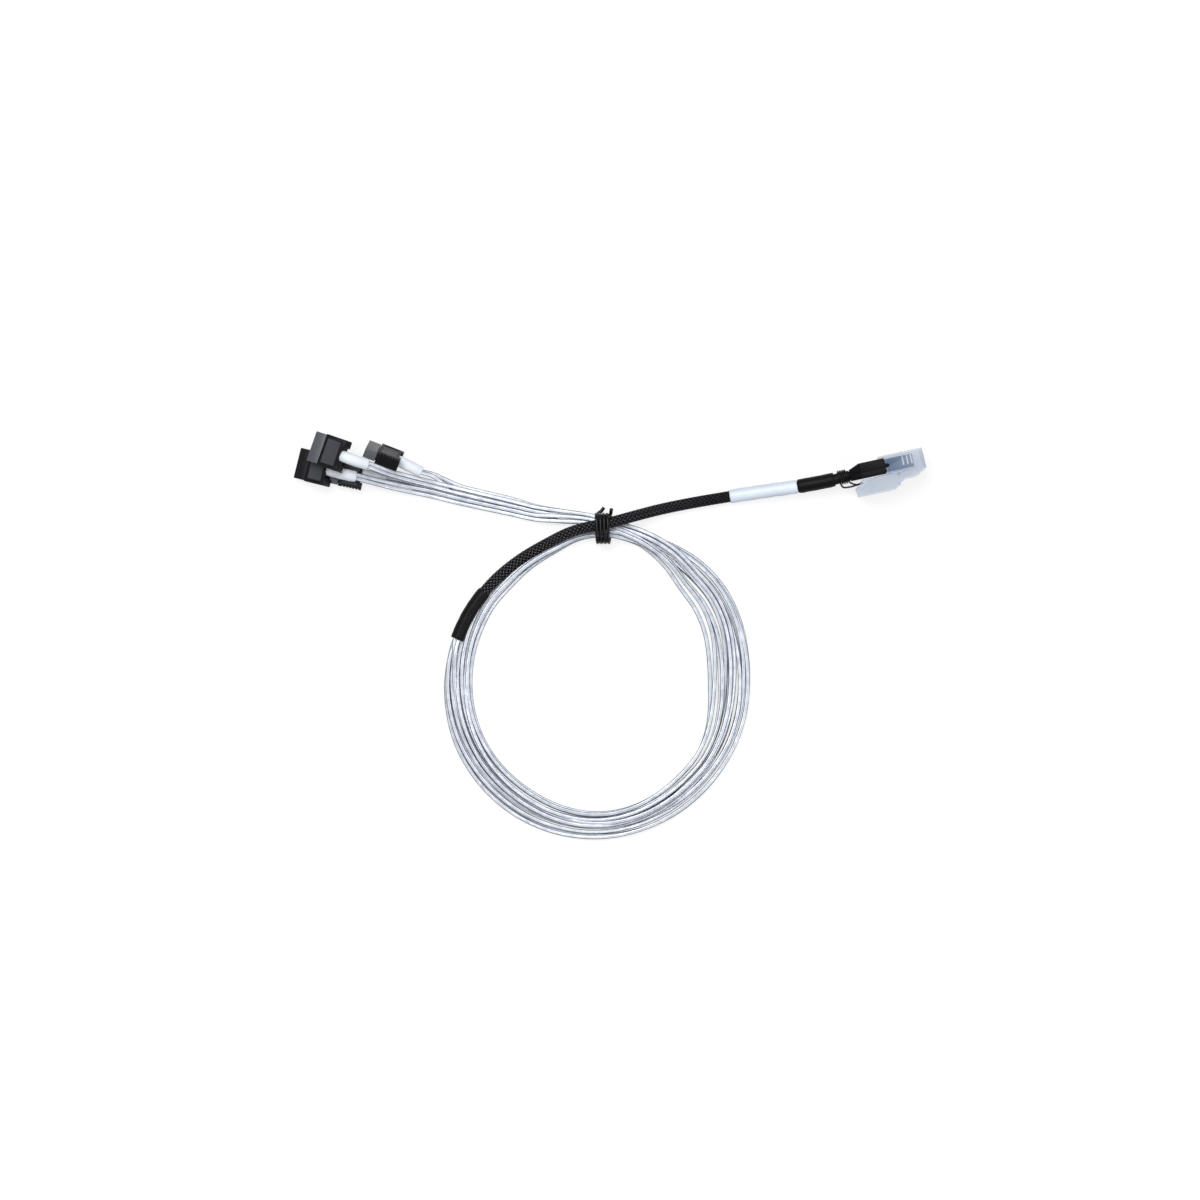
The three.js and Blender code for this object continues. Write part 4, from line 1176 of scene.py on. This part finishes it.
for letter, plug in PLUGS.items():
    housing = softened(f"plug_{letter}_housing", f"drive_plug_{letter}_housing", 0.00014)
    # Plug b's housing takes the darker copy: painted shade.
    housing.data.materials.append(shaded_nose if letter == "b" else grey_nose)
    cover = softened(f"plug_{letter}_rear_cover", f"drive_plug_{letter}_cover", 0.00014)
    cover.data.materials.append(cover_plastic)
    mark_panels(cover, letter)
    contacts = softened(f"plug_{letter}_contact_set", f"drive_plug_{letter}_contacts", 0.00004, 1)
    contacts.data.materials.append(gilt)
    route = smooth_path(
        [
            plug_point(letter, PLUG_BACK - MARKER_INSET, 0),
            plug_point(letter, PLUG_BACK, 0),
            plug_point(letter, PLUG_BACK + 0.0015, 0),
            *plug["marker"],
        ],
        0.0004,
    )
    marker = swept_tube(
        f"marker_tube_{letter}",
        route,
        0.00215,
        0.00035,
        shape=oval(20 + ord(letter), path_length(route)),
    )
    marker.data.materials.append(white_tube)
    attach(marker, "root")
    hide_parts(f"plug_{letter}_marker_tube")

for name, piece in pair_pieces.items():
    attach(piece, "root")
    if name == "a1":
        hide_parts(f"pair_{name}", "coil_of_pairs")
    else:
        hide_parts(f"pair_{name}")
    path = pair_paths[name]

# The host plug: two black shell halves over a circuit card that reaches into the hollow nose, with a
# spring steel latch along one side. It lies on its narrow side.
shell_plastic = moulded_material(
    "shell_plastic", (0.003, 0.003, 0.004), (0.02, 0.02, 0.024), 2400, 0.6, 0.4, 0.12
)
HOST_PLACE = Vector((0.1116, 0.0293, 0.0098))
HOST_YAW = math.radians(12.3)
HOST_TURN = Euler((0, 0, HOST_YAW)).to_matrix()
SPLIT_AT = -0.001
SPLIT_NEAR = 0.0002
SPLIT_GAP = 0.00002


def host_point(x, y, z):
    """A point of the host plug's frame: x towards the cap's end, y across it, z up its width."""
    return HOST_PLACE + HOST_TURN @ Vector((x, y, z))


def in_host(point):
    return HOST_TURN.transposed() @ (point - HOST_PLACE)


def closed_up(piece, side):
    """Brings a shell half's edge up to the line where the two halves meet."""
    for vert in piece.data.vertices:
        spot = in_host(vert.co)
        if abs(spot.y - SPLIT_AT) < SPLIT_NEAR:
            vert.co = host_point(spot.x, SPLIT_AT + side * SPLIT_GAP, spot.z)


for node, name, side in [
    ("backshell_upper", "shell_upper", 1),
    ("backshell_lower", "shell_lower", -1),
    ("nose_housing", "host_nose", 0),
]:
    piece = softened(node, name, 0.00012)
    if side:
        closed_up(piece, side)
    piece.data.materials.append(shell_plastic)

card_mask = flecked_material(
    "card_mask", (0.02, 0.12, 0.06), (0.04, 0.2, 0.1), 700.0, 0.3
)
card = softened("paddle_card", "host_card", 0.00003, 1)
card.data.materials.append(card_mask)

steel = flecked_material(
    "spring_steel", (0.45, 0.45, 0.46), (0.68, 0.68, 0.69), 900.0, 0.3, 1
)
latch = softened("latch_spring", "host_latch", 0.00008)
latch.data.materials.append(steel)

# Thin black cord bound round the neck of the trunk, its ends tucked into the mouth of the dust cap.
HOOD_LENGTH = 0.0046
CABLE_DROP = 0.001
BINDING_DIAMETER = 0.0008
BINDING_TURNS = 4
BINDING_PITCH = 0.001


def binding_path():
    radius = 0.00245 + 0.0001 + BINDING_DIAMETER / 2
    start = -HOOD_LENGTH - 0.0009
    points = [host_point(0.0001, -0.0054, -0.0018), host_point(-0.0026, -0.0056, -0.0017)]
    for i in range(1, BINDING_TURNS * 16):
        turn = i / 16
        angle = -math.pi / 2 + turn * 2 * math.pi
        lean = 0.00035 * math.sin(angle)
        points.append(
            host_point(
                start - turn * BINDING_PITCH - lean - 0.00035,
                -CABLE_DROP + radius * math.sin(angle),
                radius * math.cos(angle),
            )
        )
    points += [
        host_point(-0.0086, -0.0056, 0.0016),
        host_point(-0.0056, -0.0060, 0.0022),
        host_point(-0.0026, -0.0058, 0.0023),
        host_point(0.0002, -0.0054, 0.0022),
    ]
    return smooth_path(points, 0.0004)


binding = swept_tube("neck_cord", binding_path(), BINDING_DIAMETER / 2, sides=10)
binding.data.materials.append(tie_coat)
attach(binding, "root")
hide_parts("neck_binding")

# The dust cap: one piece of thin milky plastic, half clear, pushed over the nose and the latch.
milky, milky_tree, milky_shader = new_material("milky_cap")
milky_spot = place(milky_tree, "ShaderNodeTexCoord")
milky_noise = place(
    milky_tree,
    "ShaderNodeTexNoise",
    {"Vector": milky_spot.outputs["Object"], "Scale": 240.0, "Detail": 3.0},
)
milky_tone = place(milky_tree, "ShaderNodeValToRGB", {"Fac": milky_noise.outputs["Fac"]})
milky_tone.color_ramp.elements[0].color = (0.50, 0.60, 0.76, 1)
milky_tone.color_ramp.elements[1].color = (0.62, 0.70, 0.84, 1)
milky_bump = place(
    milky_tree,
    "ShaderNodeBump",
    {"Height": milky_noise.outputs["Fac"], "Strength": 0.1, "Distance": 0.0003},
)
milky_tree.links.new(milky_bump.outputs[0], milky_shader.inputs["Normal"])
milky_shader.inputs["Roughness"].default_value = 0.22
milky_place = place(
    milky_tree, "ShaderNodeMapping", {"Vector": milky_spot.outputs["Object"]}, vector_type="TEXTURE"
)
milky_place.inputs["Location"].default_value = HOST_PLACE
milky_place.inputs["Rotation"].default_value = (0, 0, HOST_YAW)
milky_at = place(milky_tree, "ShaderNodeSeparateXYZ", {0: milky_place.outputs[0]})
# Painted shade: the cap over the hollow of the nose is painted a darker blue, most of all next to
# the body.
milky_hollow_shade = 1.0
for axis, start, full, end, gone in [
    ("X", 0.0112, 0.0120, 0.0140, 0.0285),
    ("Y", -0.0052, -0.0034, 0.0022, 0.0032),
]:
    rise = spread(milky_tree, milky_at.outputs[axis], start, full, 0.0, 1.0)
    fall = spread(milky_tree, milky_at.outputs[axis], end, gone, 1.0, 0.0)
    band = reckon(milky_tree, "MULTIPLY", rise.outputs[0], fall.outputs[0])
    milky_hollow_shade = reckon(milky_tree, "MULTIPLY", milky_hollow_shade, band.outputs[0]).outputs[0]
milky_shade = blend(milky_tree, milky_hollow_shade, milky_tone.outputs[0], (0.22, 0.33, 0.54, 1))
milky_edge = place(milky_tree, "ShaderNodeLayerWeight", {"Blend": 0.35})
milky_rib = place(milky_tree, "ShaderNodeAttribute", attribute_name="rib")
milky_thick = reckon(milky_tree, "MAXIMUM", milky_edge.outputs["Facing"], milky_rib.outputs["Fac"])
milky_colour = blend(
    milky_tree, milky_thick.outputs[0], milky_shade.outputs["Result"], (0.84, 0.89, 0.97, 1)
)
milky_tree.links.new(milky_colour.outputs["Result"], milky_shader.inputs["Base Color"])
milky_cover = spread(milky_tree, milky_thick.outputs[0], 0.0, 0.9, 0.27, 0.9)
milky_tree.links.new(milky_cover.outputs[0], milky_shader.inputs["Alpha"])
cap = softened("dust_cap", "host_cap", 0.00018)
CAP_HOLLOW = 0.0090
CAP_SKIN = 0.0001
CAP_RIBS_LENGTHWISE = (0.0193, 0.0238)
CAP_RIBS_ACROSS = (-0.0016, 0.0029)
CAP_RIBS_OUT = 0.0080
cap_ribs = cap.data.attributes.new("rib", "FLOAT", "FACE")
for face in cap.data.polygons:
    spot = in_host(face.center)
    lengthwise = CAP_RIBS_LENGTHWISE[0] < spot.x < CAP_RIBS_LENGTHWISE[1]
    across = CAP_RIBS_ACROSS[0] < spot.y < CAP_RIBS_ACROSS[1]
    within = CAP_RIBS_OUT < abs(spot.z) < CAP_HOLLOW - CAP_SKIN
    cap_ribs.data[face.index].value = float(lengthwise and across and within)
cap.data.materials.append(milky)
